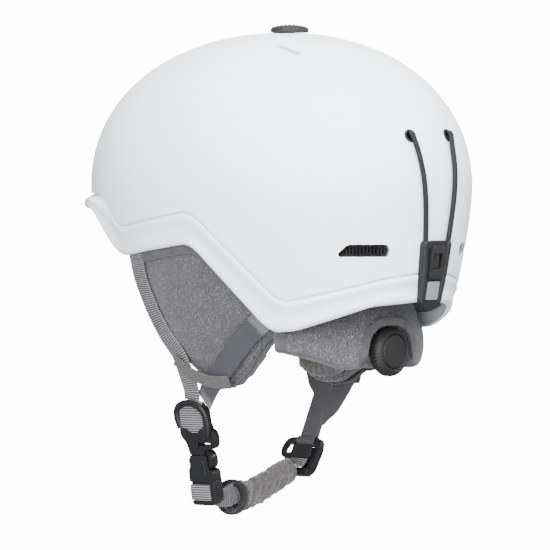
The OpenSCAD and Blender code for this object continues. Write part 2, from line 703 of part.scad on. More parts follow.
module buckle_female() {
    w = buckle_w / 2;
    t = buckle_t / 2;
    color("dimgray") in_buckle() {
        difference() {
            strap_plate(buckle_t) polygon([[-w, -8.3], [-w - 0.3, -18], [-w + 1, -34], [w - 1, -34],
                [w + 0.3, -18], [w, -8.3]]);
            translate([-2.9, -9.9, -19]) cube([5.8, 19.8, 12]);
            translate([-t - 1, -w + 3, -30]) cube([buckle_t + 2, buckle_w - 6, 6.5]);
            for (s = [-1, 1]) translate([s * 4.6 - 2, -w - 1, -35]) cube([4, buckle_w + 2, 12]);
        }
        for (s = [-1, 1]) translate([s * (t - 0.55) - 0.55, -5.5, -9]) cube([1.1, 11, 8]);
    }
}

module strap_ring() {
    w = buckle_w / 2 + 1;
    color("dimgray") in_ring() {
        rotate([90, 0, 0]) cylinder(d = bar_d, h = 2 * w - 2, center = true);
        strap_plate(4) for (s = [-1, 1]) polygon([[s * w, 1.7], [s * (w + 0.6), -12], [s * (w - 1), -21],
            [s * (w - 3.6), -21], [s * (w - 3.6), 1.7]]);
        strap_plate(3.4) {
            translate([-w + 2, -11]) square([2 * w - 4, 3.4]);
            translate([-w + 2, -21]) square([2 * w - 4, 3]);
        }
    }
}

// The last stretch of the left straps, sewn round the buckle's bar
module buckle_loop() {
    color("gray") in_buckle() translate([0, 0, buckle_bar_z]) webbing_loop();
}

// The last stretch of the right straps, sewn round the ring's bar
ring_loop_route = [[-56.1, -26.3, -139.7], [-54.8, -29.2, -151], [-52.9, -30, -165.2]];

module ring_loop() {
    color("gray") {
        in_ring() webbing_loop();
        webbing(ring_loop_route, [for (p = ring_loop_route) [0, 1, 0]], thick = 2 * web_t);
    }
}

chin_left_route = [[45.5, -30, -197.2], [40.5, -30, -198.6], [33, -30.5, -200.3], [25, -31.5, -201.5],
    [18, -32.3, -201.9], [13, -33, -201.6]];
chin_left_across = [[0, 1, 0], [0, 1, 0], [0, 0.8, 0.6], [0, 0.45, 0.9], [0, 0.1, 1], [0, 0, 1]];
chin_right_route = [[-40.3, -31.2, -184.8], [-43.2, -30.8, -183], [-47.5, -30, -182]];
chin_right_across = [[0, 0.5, 0.86], [0, 1, 0], [0, 1, 0]];
pad_route = [[12.5, -33, -201.7], [6, -33.4, -201], [-5, -33.8, -198.4], [-16, -33.6, -194.8],
    [-28, -32.6, -190.3], [-39, -31.5, -185.5]];
chin_pad_h = 20;
chin_pad_t = 14;

module chin_webbing() {
    color("gray") {
        webbing(chin_left_route, chin_left_across);
        webbing(chin_right_route, chin_right_across);
    }
}

// Points of the chin pad's oval outline around a point on its route
function oval(i, grow, sides) = let (t = along(pad_route, i),
    u = unit(cross(t, [0, 0, 1])), v = cross(t, u))
    [for (s = [0:sides - 1]) pad_route[i] + u * (chin_pad_t / 2 + grow) * cos(s * 360 / sides)
        - v * (chin_pad_h / 2 + grow) * sin(s * 360 / sides)];

module chin_pad() {
    n = len(pad_route);
    color("darkgray") swept([for (i = [0:n - 1]) oval(i, i == 0 || i == n - 1 ? -2 : 0, 14)]);
}

module chin_pad_binding() {
    t = -along(pad_route, 0);
    color("black") swept([for (k = [0:15]) let (outer = oval(0, 0, 16)[k], inner = oval(0, -1.5, 16)[k])
        [outer + t * 0.2, outer + t * 2.2, inner + t * 2.2, inner + t * 0.2]], closed = true);
}

top_shell();
lower_rim();
foam_liner();
crown_pad();
brow_pad();
side_pad(1);  // side_pad_left
side_pad(-1);  // side_pad_right
slider_button();
slider_screw();
vent_shutter();
vent_mesh(1);  // vent_mesh_left
vent_mesh(-1);  // vent_mesh_right
ear_pad(1);  // ear_pad_left
ear_pad(-1);  // ear_pad_right
ear_lining(1);  // ear_lining_left
ear_lining(-1);  // ear_lining_right
keeper_band(1);  // keeper_band_left
keeper_band(-1);  // keeper_band_right
strap_anchors();
strap(1, front_route);  // strap_left_front
strap(1, rear_route);  // strap_left_rear
strap(-1, front_route);  // strap_right_front
strap(-1, rear_route);  // strap_right_rear
buckle_loop();
ring_loop();
nape_cradle();
nape_hangers();
nape_pad(1);  // nape_pad_left
nape_pad(-1);  // nape_pad_right
dial_housing();
dial_back_plate();
fit_dial();
dial_pinion();
dial_screw();
rack(1);  // rack_left
rack(-1);  // rack_right
eyelet(1);  // eyelet_left
eyelet(-1);  // eyelet_right
elastic(1);  // elastic_left
elastic(-1);  // elastic_right
retainer_clip();
retainer_tongue();
retainer_label();
retainer_stud();
buckle_male();
prong(-1);  // prong_front
prong(1);  // prong_rear
buckle_female();
chin_webbing();
chin_pad();
chin_pad_binding();
strap_ring();
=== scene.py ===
"""The looks of a ski helmet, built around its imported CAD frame.

The row frame has its origin in the middle of the head opening, +Z up, the wearer looking along -Y
and the wearer's left at +X. Shapes are worked out in millimetres and become metres in raw_piece().
Angles round the helmet are in degrees and run from the wearer's left (0) to the back (90).
"""

import json
import math

import bmesh
import bpy
import numpy as np
from mathutils import Matrix, Vector, noise

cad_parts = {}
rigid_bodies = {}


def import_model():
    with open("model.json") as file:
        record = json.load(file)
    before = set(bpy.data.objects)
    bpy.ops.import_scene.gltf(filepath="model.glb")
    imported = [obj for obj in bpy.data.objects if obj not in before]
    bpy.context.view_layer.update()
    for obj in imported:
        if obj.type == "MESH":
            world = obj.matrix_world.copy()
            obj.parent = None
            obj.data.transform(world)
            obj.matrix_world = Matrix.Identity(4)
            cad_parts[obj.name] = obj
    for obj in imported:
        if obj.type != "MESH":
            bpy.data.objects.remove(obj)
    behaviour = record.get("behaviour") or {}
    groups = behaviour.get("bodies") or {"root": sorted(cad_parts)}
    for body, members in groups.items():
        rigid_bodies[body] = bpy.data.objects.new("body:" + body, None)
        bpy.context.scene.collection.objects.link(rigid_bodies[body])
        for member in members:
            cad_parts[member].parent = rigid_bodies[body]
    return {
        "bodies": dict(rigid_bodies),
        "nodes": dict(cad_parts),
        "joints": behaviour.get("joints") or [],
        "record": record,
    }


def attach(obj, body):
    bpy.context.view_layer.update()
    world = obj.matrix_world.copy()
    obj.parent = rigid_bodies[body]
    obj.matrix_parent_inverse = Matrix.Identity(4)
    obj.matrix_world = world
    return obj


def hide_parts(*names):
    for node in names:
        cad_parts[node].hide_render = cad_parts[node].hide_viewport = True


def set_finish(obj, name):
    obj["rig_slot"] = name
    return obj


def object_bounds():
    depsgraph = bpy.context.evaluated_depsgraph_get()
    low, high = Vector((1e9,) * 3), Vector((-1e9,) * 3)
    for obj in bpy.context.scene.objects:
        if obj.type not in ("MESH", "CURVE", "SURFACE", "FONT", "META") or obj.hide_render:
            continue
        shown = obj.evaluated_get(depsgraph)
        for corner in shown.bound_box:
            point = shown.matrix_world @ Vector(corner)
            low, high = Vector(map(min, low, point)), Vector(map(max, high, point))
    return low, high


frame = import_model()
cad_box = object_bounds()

MM = 0.001
nodes = frame["nodes"]


# ---------------------------------------------------------------- camera, light and floor

# each lamp's azimuth and elevation in degrees, distance and size in metres, and watts
LIGHTS = {
    "key": (150, 50, 1.5, 1.0, 80),
    "fill": (118, 4, 1.7, 1.3, 56),
    "left": (215, 25, 1.6, 0.9, 20),
    "top": (20, 80, 1.5, 1.0, 22),
    "under": (128, -38, 1.6, 1.1, 15),
}
AZIMUTH, ELEVATION = 132, 1.5
FIELD_WIDTH = 0.357
LENS, SENSOR = 600.0, 36.0
# how far the middle of the picture lies right of the origin and above it
ASIDE, ALOFT = -0.0065, -0.0573
FLOOR_DROP, FLOOR_SIDES = 0.080, 96
WALL_RADIUS, WALL_BEND, WALL_HIGH = 16.0, 1.5, 10.0


def new_object(name, data):
    thing = bpy.data.objects.new(name, data)
    bpy.context.scene.collection.objects.link(thing)
    return thing


def direction(azimuth, elevation):
    """The unit vector from the origin towards a viewpoint"""
    a, e = math.radians(azimuth), math.radians(elevation)
    return Vector((math.sin(a) * math.cos(e), -math.cos(a) * math.cos(e), math.sin(e)))


def face_along(thing, out):
    """Turns a camera or a lamp to look against out"""
    thing.rotation_mode = "QUATERNION"
    thing.rotation_quaternion = (-out).to_track_quat("-Z", "Y")


def circle(steps):
    """The cosine and sine of equal steps round a circle"""
    turns = [2 * math.pi * k / steps for k in range(steps)]
    return [(math.cos(a), math.sin(a)) for a in turns]


def add_camera():
    back = direction(AZIMUTH, ELEVATION)
    right = direction(AZIMUTH + 90, 0)
    up = back.cross(right)
    data = bpy.data.cameras.new("camera")
    data.lens, data.sensor_width = LENS, SENSOR
    data.clip_start, data.clip_end = 0.05, 60
    camera = new_object("camera", data)
    camera.location = right * ASIDE + up * ALOFT + back * (FIELD_WIDTH * LENS / SENSOR)
    face_along(camera, back)
    bpy.context.scene.camera = camera


def add_light(name, azimuth, elevation, distance, size, watts):
    out = direction(azimuth, elevation)
    data = bpy.data.lights.new(name, "AREA")
    data.shape, data.size, data.energy = "DISK", size, watts
    light = new_object(name, data)
    light.location = out * distance
    face_along(light, out)


def add_studio():
    """A dim even surround and large soft lamps"""
    world = bpy.data.worlds.new("studio")
    bpy.context.scene.world = world
    world.use_nodes = True
    surround = world.node_tree.nodes["Background"]
    surround.inputs["Color"].default_value = (0.95, 0.98, 1.0, 1)
    surround.inputs["Strength"].default_value = 0.75
    for name, where in LIGHTS.items():
        add_light(name, *where)


def add_floor():
    """A pale round floor that curves up far away into a wall. It glows, so that it reads as lit paper,
    and it lights nothing."""
    flat = WALL_RADIUS - WALL_BEND
    profile = [(flat, 0.0)]
    for t in np.linspace(0.1, math.pi / 2, 12):
        profile.append((flat + WALL_BEND * math.sin(t), WALL_BEND - WALL_BEND * math.cos(t)))
    profile.append((WALL_RADIUS, WALL_HIGH))
    level = cad_box[0].z - FLOOR_DROP
    rows = [[(r * c, r * s, level + rise) for c, s in circle(FLOOR_SIDES)] for r, rise in profile]
    points, faces = loft(rows, caps=False)
    mesh = bpy.data.meshes.new("floor")
    mesh.from_pydata(points, [], [tuple(range(FLOOR_SIDES))] + faces)
    mesh.polygons.foreach_set("use_smooth", [True] * len(mesh.polygons))
    floor = new_object("floor", mesh)
    floor.visible_diffuse = floor.visible_glossy = floor.visible_shadow = False
    look, _, shader = new_look("floor_paper")
    set_sockets(shader, {"Base Color": (0.92, 0.92, 0.92, 1), "Roughness": 0.9,
                         "Emission Color": (1, 1, 1, 1), "Emission Strength": 14.0})
    mesh.materials.append(look)


# ---------------------------------------------------------------- materials

def new_look(name):
    look = bpy.data.materials.new(name)
    look.use_nodes = True
    tree = look.node_tree
    return look, tree, tree.nodes["Principled BSDF"]


def link(tree, source, target):
    tree.links.new(source, target)


def set_sockets(node, values):
    """Sets uniform values straight on a node's sockets"""
    for name, value in values.items():
        node.inputs[name].default_value = value


def feed(tree, socket, value):
    """Gives a socket a number, a colour or a link"""
    if isinstance(value, (int, float)):
        socket.default_value = value
    elif isinstance(value, tuple):
        socket.default_value = (*value, 1)
    else:
        link(tree, value, socket)


def coords_of(tree, kind, stretch, turn):
    where = tree.nodes.new("ShaderNodeTexCoord")
    mapping = tree.nodes.new("ShaderNodeMapping")
    set_sockets(mapping, {"Scale": stretch, "Rotation": turn})
    link(tree, where.outputs[kind], mapping.inputs["Vector"])
    return mapping.outputs["Vector"]


def object_coords(tree, stretch=(1, 1, 1), turn=(0, 0, 0)):
    """Object coordinates in metres, scaled and turned"""
    return coords_of(tree, "Object", stretch, turn)


def uv_coords(tree, stretch=(1, 1, 1)):
    return coords_of(tree, "UV", stretch, (0, 0, 0))


def noise_of(tree, coords, scale, detail=2.0, roughness=0.5):
    node = tree.nodes.new("ShaderNodeTexNoise")
    set_sockets(node, {"Scale": scale, "Detail": detail, "Roughness": roughness})
    link(tree, coords, node.inputs["Vector"])
    return node.outputs["Fac"]


def cells_of(tree, coords, scale):
    """Rounded cells, high in their middles"""
    node = tree.nodes.new("ShaderNodeTexVoronoi")
    node.inputs["Scale"].default_value = scale
    link(tree, coords, node.inputs["Vector"])
    return math_of(tree, "SUBTRACT", 1.0, node.outputs["Distance"])


def strands_of(tree, coords):
    """Slanting bands"""
    node = tree.nodes.new("ShaderNodeTexWave")
    node.wave_type, node.bands_direction = "BANDS", "DIAGONAL"
    set_sockets(node, {"Scale": 1.0, "Distortion": 0.0})
    link(tree, coords, node.inputs["Vector"])
    return node.outputs["Fac"]


def stripes_of(tree, along, pitch):
    """Even stripes from 0 to 1, one to each pitch"""
    turns = math_of(tree, "MULTIPLY", along, 2 * math.pi / pitch)
    return math_of(tree, "MULTIPLY_ADD", math_of(tree, "COSINE", turns), 0.5, 0.5)


def ramp_of(tree, fac, stops):
    """A colour ramp; each stop is (place, grey or colour)"""
    node = tree.nodes.new("ShaderNodeValToRGB")
    ramp = node.color_ramp
    while len(ramp.elements) < len(stops):
        ramp.elements.new(0.5)
    for element, (place, value) in zip(ramp.elements, stops):
        element.position = place
        element.color = (*value, 1) if isinstance(value, tuple) else (value, value, value, 1)
    link(tree, fac, node.inputs["Fac"])
    return node.outputs["Color"]


def blend_of(tree, fac, first, second):
    node = tree.nodes.new("ShaderNodeMix")
    node.data_type, node.blend_type = "RGBA", "MIX"
    for value, place in ((fac, 0), (first, 6), (second, 7)):
        feed(tree, node.inputs[place], value)
    return node.outputs[2]


def math_of(tree, operation, first, second=0.0, third=0.0):
    node = tree.nodes.new("ShaderNodeMath")
    node.operation = operation
    for i, value in enumerate((first, second, third)):
        feed(tree, node.inputs[i], value)
    return node.outputs[0]


def bump_of(tree, shader, height, distance, strength=1.0):
    node = tree.nodes.new("ShaderNodeBump")
    set_sockets(node, {"Distance": distance, "Strength": strength})
    link(tree, height, node.inputs["Height"])
    link(tree, node.outputs["Normal"], shader.inputs["Normal"])


def paint(tree, shader, fac, stops):
    """The base colour, by a ramp"""
    link(tree, ramp_of(tree, fac, stops), shader.inputs["Base Color"])


def shell_look():
    """Fine matte white paint: a faint orange peel, and slow drifts of tone and sheen"""
    look, tree, shader = new_look("white_paint")
    coords = object_coords(tree)
    drift = noise_of(tree, coords, 14, 3)
    paint(tree, shader, drift, [(0.3, (0.76, 0.82, 0.885)), (0.7, (0.78, 0.84, 0.905))])
    grain = noise_of(tree, coords, 2600, 2)
    link(tree, math_of(tree, "MULTIPLY_ADD", grain, 0.16, 0.40), shader.inputs["Roughness"])
    bump_of(tree, shader, grain, 0.00002)
    shader.inputs["Specular IOR Level"].default_value = 0.42
    return look


def plastic_look(name, base, light, rough, pebble=1400, depth=0.00004):
    """Moulded plastic: a fine spark-eroded texture with lighter high spots"""
    look, tree, shader = new_look(name)
    coords = object_coords(tree)
    pebbles = noise_of(tree, coords, pebble, 3, 0.6)
    drift = noise_of(tree, coords, 60, 3)
    tone = blend_of(tree, ramp_of(tree, pebbles, [(0.35, 0.0), (0.75, 1.0)]), base, light)
    tone = blend_of(tree, 0.25, tone, ramp_of(tree, drift, [(0.3, base), (0.8, light)]))
    link(tree, tone, shader.inputs["Base Color"])
    link(tree, math_of(tree, "MULTIPLY_ADD", drift, 0.18, rough), shader.inputs["Roughness"])
    bump_of(tree, shader, pebbles, depth)
    shader.inputs["Specular IOR Level"].default_value = 0.3
    return look


def heather_look(name, dark, middle, light, speck=1750):
    """Melange fabric: light and dark yarns crossing on a woven ground"""
    look, tree, shader = new_look(name)
    turned = object_coords(tree, (1, 0.45, 1.35), (0.5, 0.3, 0.78))
    crossed = object_coords(tree, (1, 1.5, 0.42), (-0.4, 0.2, -0.7))
    first = noise_of(tree, turned, speck, 2, 0.55)
    second = noise_of(tree, crossed, speck * 0.85, 2, 0.55)
    yarns = math_of(tree, "MULTIPLY", math_of(tree, "ADD", first, second), 0.5)
    tone = ramp_of(tree, yarns, [(0.36, dark), (0.47, middle), (0.55, middle), (0.66, light)])
    drift = noise_of(tree, object_coords(tree), 70, 2)
    tone = blend_of(tree, ramp_of(tree, drift, [(0.35, 0.0), (0.7, 0.22)]), tone, dark)
    link(tree, tone, shader.inputs["Base Color"])
    set_sockets(shader, {"Roughness": 0.92, "Specular IOR Level": 0.2, "Sheen Weight": 0.25,
                         "Sheen Roughness": 0.5})
    bump_of(tree, shader, yarns, 0.0007, 0.7)
    return look


def fleece_look(name, dark, light, tuft=420):
    """Short brushed pile: soft tufts with lighter tips and fine fibres"""
    look, tree, shader = new_look(name)
    coords = object_coords(tree)
    tufts = noise_of(tree, coords, tuft, 3, 0.6)
    fibres = noise_of(tree, object_coords(tree, (1, 1, 2.2)), tuft * 5, 2, 0.6)
    pile = math_of(tree, "MULTIPLY_ADD", fibres, 0.45, tufts)
    paint(tree, shader, pile, [(0.45, dark), (0.95, light)])
    set_sockets(shader, {"Roughness": 0.97, "Specular IOR Level": 0.1, "Sheen Weight": 0.5,
                         "Sheen Roughness": 0.4})
    bump_of(tree, shader, pile, 0.0011, 0.8)
    return look


def knit_look(name, dark, light, pitch=1600):
    """Smooth knitted cloth: fine even loops"""
    look, tree, shader = new_look(name)
    loops = cells_of(tree, object_coords(tree, (1, 1, 0.7)), pitch)
    drift = noise_of(tree, object_coords(tree), 120, 3)
    paint(tree, shader, math_of(tree, "MULTIPLY", loops, drift), [(0.15, dark), (0.55, light)])
    set_sockets(shader, {"Roughness": 0.9, "Specular IOR Level": 0.2, "Sheen Weight": 0.2})
    bump_of(tree, shader, loops, 0.0003, 0.6)
    return look


RIB_PITCH, YARN_PITCH = 1.5, 0.7


def webbing_look(name, dark, light):
    """Ribbed webbing, its rib crests painted lighter as painted highlight and the valleys between them
    painted darker as painted shade. Its UV map runs in millimetres: U across and V along. The mesh's ribs
    attribute is 0 on a smooth stretch and 1 on a ribbed one, and also sets how strongly the painted rib
    highlight and shade show."""
    look, tree, shader = new_look(name)
    split = tree.nodes.new("ShaderNodeSeparateXYZ")
    link(tree, uv_coords(tree), split.inputs[0])
    ribbed = tree.nodes.new("ShaderNodeAttribute")
    ribbed.attribute_name = "ribs"
    rib = math_of(tree, "MULTIPLY", stripes_of(tree, split.outputs[1], RIB_PITCH), ribbed.outputs["Fac"])
    crest = math_of(tree, "MULTIPLY_ADD", stripes_of(tree, split.outputs[0], YARN_PITCH), 0.03, rib)
    # painted shade and highlight: the ramp below darkens the rib valleys, gives their flanks a half-lit tone
    # and lightens the crests
    half_lit_flank = tuple(0.78 * d + 0.22 * v for d, v in zip(dark, light))
    tone = ramp_of(tree, crest, [(0.0, dark), (0.5, half_lit_flank), (0.95, light)])
    wear = noise_of(tree, uv_coords(tree, (0.6, 1.4, 1)), 1.2, 3)
    tone = blend_of(tree, ramp_of(tree, wear, [(0.4, 0.0), (0.8, 0.25)]), tone, dark)
    link(tree, tone, shader.inputs["Base Color"])
    set_sockets(shader, {"Roughness": 0.75, "Specular IOR Level": 0.3, "Sheen Weight": 0.04})
    bump_of(tree, shader, crest, 0.00025, 0.8)
    return look


def braid_look(name, dark, light):
    """Braided elastic: two sets of strands winding opposite ways; its UV map runs in millimetres"""
    look, tree, shader = new_look(name)
    left = strands_of(tree, uv_coords(tree, (0.55, 0.55, 1)))
    right = strands_of(tree, uv_coords(tree, (-0.55, 0.55, 1)))
    strands = math_of(tree, "MAXIMUM", left, right)
    paint(tree, shader, strands, [(0.3, dark), (0.95, light)])
    set_sockets(shader, {"Roughness": 0.8, "Specular IOR Level": 0.3})
    bump_of(tree, shader, strands, 0.0002, 0.7)
    return look


def foam_look():
    """Moulded bead foam: packed beads a few millimetres across under a smooth skin"""
    look, tree, shader = new_look("bead_foam")
    beads = cells_of(tree, object_coords(tree), 260)
    paint(tree, shader, beads, [(0.3, (0.03, 0.03, 0.032)), (0.8, (0.075, 0.075, 0.08))])
    shader.inputs["Roughness"].default_value = 0.7
    bump_of(tree, shader, beads, 0.0006, 0.5)
    return look


def steel_look():
    look, tree, shader = new_look("turned_steel")
    rings = noise_of(tree, object_coords(tree, (1, 1, 8)), 900, 2)
    paint(tree, shader, rings, [(0.3, (0.42, 0.42, 0.43)), (0.7, (0.62, 0.62, 0.63))])
    set_sockets(shader, {"Metallic": 1.0, "Roughness": 0.35})
    bump_of(tree, shader, rings, 0.00003)
    return look


LOOKS = {
    "shell": shell_look(),
    "foam": foam_look(),
    "lining": knit_look("lining_knit", (0.10, 0.10, 0.105), (0.24, 0.24, 0.25), 1300),
    "heather": heather_look("heather_weave", (0.020, 0.020, 0.024), (0.062, 0.062, 0.069),
                            (0.28, 0.28, 0.29)),
    "fleece": fleece_look("grey_fleece", (0.040, 0.038, 0.037), (0.135, 0.130, 0.128)),
    "band": knit_look("elastic_band", (0.054, 0.054, 0.054), (0.084, 0.084, 0.083), 2600),
    "tape": knit_look("smooth_tape", (0.044, 0.044, 0.050), (0.078, 0.078, 0.087), 2400),
    # the webbing's light colour is the painted highlight on its rib crests; its dark colour is its own tone
    # and the painted shade in the rib valleys
    "webbing": webbing_look("ribbed_webbing", (0.036, 0.036, 0.042), (0.235, 0.235, 0.245)),
    "dial_plastic": plastic_look("dial_plastic", (0.004, 0.004, 0.004), (0.009, 0.009, 0.0087), 0.5),
    "black_plastic": plastic_look("black_plastic", (0.007, 0.007, 0.007), (0.014, 0.014, 0.014), 0.5),
    "buckle_plastic": plastic_look("buckle_plastic", (0.0042, 0.0042, 0.0045), (0.009, 0.009, 0.0095),
                                   0.36, 1800, 0.00002),
    "buckle_gloss": plastic_look("glossy_buckle", (0.0045, 0.0045, 0.005), (0.009, 0.009, 0.0095),
                                 0.16, 1800, 0.00001),
    "lever": plastic_look("lever_plastic", (0.007, 0.0065, 0.007), (0.014, 0.013, 0.014), 0.42, 900),
    "slate": plastic_look("slate_plastic", (0.004, 0.005, 0.0056), (0.008, 0.0098, 0.011), 0.55),
    "elastic": braid_look("braided_elastic", (0.002, 0.0025, 0.003), (0.007, 0.0085, 0.0095)),
    "label": plastic_look("label_plastic", (0.15, 0.155, 0.16), (0.20, 0.205, 0.21), 0.4),
    "binding": knit_look("black_binding", (0.008, 0.008, 0.009), (0.03, 0.03, 0.032), 2200),
    "mesh_black": plastic_look("mesh_black", (0.002, 0.002, 0.002), (0.005, 0.005, 0.005), 0.6),
    "steel": steel_look(),
    "acetal": plastic_look("acetal", (0.50, 0.50, 0.48), (0.60, 0.60, 0.58), 0.4),
}
SLOT_OF = {"tape": "heather", "buckle_gloss": "buckle_plastic", "lever": "slate"}


# ---------------------------------------------------------------- making and joining meshes

def raw_piece(name, points, faces, outward=True):
    """An object made from points in millimetres"""
    mesh = bpy.data.meshes.new(name)
    mesh.from_pydata([(x * MM, y * MM, z * MM) for x, y, z in points], [], faces)
    piece = new_object(name, mesh)
    if outward:
        turn_outward(piece)
    return piece


def mesh_piece(name, points, faces, look, body, replaces=(), smooth_under=40, outward=True):
    """A piece made from points in millimetres, on a body and with a material"""
    piece = raw_piece(name, points, faces, outward)
    smooth(piece, smooth_under)
    dress(piece, look, body, replaces)
    return piece


def joined(name, parts, look, body, replaces=(), smooth_under=45):
    """One piece made of several closed parts"""
    bm = bmesh.new()
    for part in parts:
        bm.from_mesh(part.data)
        bpy.data.objects.remove(part)
    mesh = bpy.data.meshes.new(name)
    bm.to_mesh(mesh)
    bm.free()
    piece = new_object(name, mesh)
    smooth(piece, smooth_under)
    dress(piece, look, body, replaces)
    return piece


def dress(piece, look, body, replaces=()):
    piece.data.materials.clear()
    piece.data.materials.append(LOOKS[look])
    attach(piece, body)
    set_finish(piece, SLOT_OF.get(look, look))
    if replaces:
        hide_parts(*replaces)


def turn_outward(piece):
    bm = bmesh.new()
    bm.from_mesh(piece.data)
    bmesh.ops.recalc_face_normals(bm, faces=bm.faces)
    bm.to_mesh(piece.data)
    bm.free()


def smooth(piece, under=40):
    """Smooth shading with edges sharper than under degrees kept crisp"""
    mesh = piece.data
    mesh.polygons.foreach_set("use_smooth", [True] * len(mesh.polygons))
    if under < 180:
        mesh.set_sharp_from_angle(angle=math.radians(under))
    mesh.update()


def baked(piece):
    """Applies the piece's modifiers to its mesh"""
    graph = bpy.context.evaluated_depsgraph_get()
    mesh = bpy.data.meshes.new_from_object(piece.evaluated_get(graph))
    old = piece.data
    piece.modifiers.clear()
    piece.data = mesh
    bpy.data.meshes.remove(old)
    return piece


def rounded_edges(piece, width, segments=3, angle=35):
    bevel = piece.modifiers.new("bevel", "BEVEL")
    bevel.width, bevel.segments = width * MM, segments
    bevel.limit_method, bevel.angle_limit = "ANGLE", math.radians(angle)
    bevel.harden_normals = False
    baked(piece)
    smooth(piece, 50)
    return piece


def both_forms(first, second):
    """Points and faces of two forms as one"""
    points, faces = first
    more_points, more_faces = second
    return points + more_points, faces + [tuple(i + len(points) for i in face) for face in more_faces]


def cut(piece, cutters):
    """Subtracts closed cutter meshes, each given as points and faces in millimetres"""
    form = ([], [])
    for cutter in cutters:
        form = both_forms(form, cutter)
    tool = raw_piece("cutter", *form)
    carve = piece.modifiers.new("cut", "BOOLEAN")
    carve.operation, carve.solver, carve.object = "DIFFERENCE", "EXACT", tool
    bpy.context.view_layer.update()
    baked(piece)
    bpy.data.objects.remove(tool)
    return piece


def loft(rows, closed=False, caps=True):
    """Points and faces through rows of points, each row a ring"""
    n = len(rows[0])
    points = [tuple(p) for row in rows for p in row]
    spans = len(rows) if closed else len(rows) - 1
    faces = []
    for i in range(spans):
        a, b = i * n, (i + 1) % len(rows) * n
        faces += [(a + j, a + (j + 1) % n, b + (j + 1) % n, b + j) for j in range(n)]
    if caps and not closed:
        last = (len(rows) - 1) * n
        faces += [tuple(range(n - 1, -1, -1)), tuple(last + j for j in range(n))]
    return points, faces


def bowl(rows, first_pole, last_pole):
    """A closed shell of rings from one pole to another"""
    points, faces = loft(rows, caps=False)
    n, last = len(rows[0]), (len(rows) - 1) * len(rows[0])
    points += [first_pole, last_pole]
    faces += [(len(points) - 2, (j + 1) % n, j) for j in range(n)]
    faces += [(len(points) - 1, last + j, last + (j + 1) % n) for j in range(n)]
    return points, faces


def prism(outline, low, high, place):
    """A closed prism of an outline of (u, v) points between two levels; place maps u, v, w to a point"""
    return loft([[place(u, v, w) for u, v in outline] for w in (low, high)])


def filleted(corners, radius, steps=5):
    """The outline with its corners rounded; a corner may bring its own radius as a third number"""
    out = []
    at = [Vector(corner[:2]) for corner in corners]
    for i, here in enumerate(at):
        before, after = at[i - 1], at[(i + 1) % len(at)]
        r = corners[i][2] if len(corners[i]) > 2 else radius
        start = here + (before - here).normalized() * min(r, (before - here).length * 0.48)
        end = here + (after - here).normalized() * min(r, (after - here).length * 0.48)
        for k in range(steps + 1):
            t = k / steps
            out.append(tuple(start * (1 - t) ** 2 + here * 2 * t * (1 - t) + end * t ** 2))
    return out


def slot_outline(length, width, steps=10):
    """A slot with round ends, its length along u"""
    out = []
    for side in (1, -1):
        for k in range(steps + 1):
            a = math.radians(-90 + 180 * k / steps)
            along = (length - width) / 2 + width / 2 * math.cos(a)
            out.append((side * along, side * width / 2 * math.sin(a)))
    return out


def quarter(steps):
    """Angles from 0 to a quarter turn"""
    return [math.radians(90 * k / steps) for k in range(steps + 1)]


def revolved(profile, steps, place, ripple=None):
    """Points and faces of a turned solid; the profile runs in (radius, level) from axis to axis.
    ripple(angle, radius, level) gives a changed radius."""
    rings = []
    for r, w in profile:
        ring = []
        for k, (c, s) in enumerate(circle(steps)):
            q = ripple(2 * math.pi * k / steps, r, w) if ripple else r
            ring.append(place(q * c, q * s, w))
        rings.append(ring)
    return bowl(rings, place(0, 0, profile[0][1]), place(0, 0, profile[-1][1]))


def turned_ring(profile, steps, place):
    """Points and faces of a turned ring; the profile runs in (radius, level) and closes on itself"""
    return loft([[place(r * c, r * s, w) for r, w in profile] for c, s in circle(steps)], closed=True)


def placed(matrix):
    """A place function that carries u, v, w through a matrix given in millimetres"""
    return lambda u, v, w: tuple(matrix @ Vector((u, v, w)))


def spline(points, step):
    """Points along a smooth curve through the given points, about step apart"""
    p = [Vector(q) for q in points]
    p = [p[0] * 2 - p[1]] + p + [p[-1] * 2 - p[-2]]
    out = []
    for i in range(1, len(p) - 2):
        count = max(1, round((p[i + 1] - p[i]).length / step))
        for k in range(count):
            t = k / count
            out.append(0.5 * ((2 * p[i]) + (p[i + 1] - p[i - 1]) * t
                              + (2 * p[i - 1] - 5 * p[i] + 4 * p[i + 1] - p[i + 2]) * t * t
                              + (3 * p[i] - p[i - 1] - 3 * p[i + 1] + p[i + 2]) * t ** 3))
    out.append(p[-2])
    return out


def heading(path, i):
    return (path[min(i + 1, len(path) - 1)] - path[max(i - 1, 0)]).normalized()


def run_along(path):
    """The distance along a path to each of its points"""
    run = [0.0]
    for i in range(1, len(path)):
        run.append(run[-1] + (path[i] - path[i - 1]).length)
    return run


EDGE_STEPS, NARROWING, RIB_DEPTH = 6, 0.42, 0.16


def strip_rows(path, normals, width, thick, rib=0.0, ribbed=None, fade=0.0):
    """Sections of a flat strip with round edges along a path, facing its normals. Its ribs are rib deep
    where ribbed(run) is 1. It narrows over its last part, whose share of the path is fade."""
    rows = []
    half_round = [math.radians(-90 + 180 * k / EDGE_STEPS) for k in range(EDGE_STEPS + 1)]
    for i, (p, run) in enumerate(zip(path, run_along(path))):
        t = heading(path, i)
        u = t.cross(normals[i]).normalized()
        v = u.cross(t).normalized()
        share = ribbed(run) if ribbed else 1.0
        swell = 1 + rib * share * math.cos(2 * math.pi * run / RIB_PITCH)
        half, h = width / 2, thick / 2
        if fade:
            half *= 1 - NARROWING * ease(1 - (len(path) - 1 - i) / (len(path) * fade))
        ring = []
        for side in (1, -1):
            for a in half_round:
                ring.append(p + u * side * (half - h + h * math.cos(a)) + v * side * h * swell * math.sin(a))
            ring.append(p + v * side * h * swell + u * side * half * 0.33)
            ring.append(p + v * side * h * swell - u * side * half * 0.33)
        rows.append(ring)
    return rows


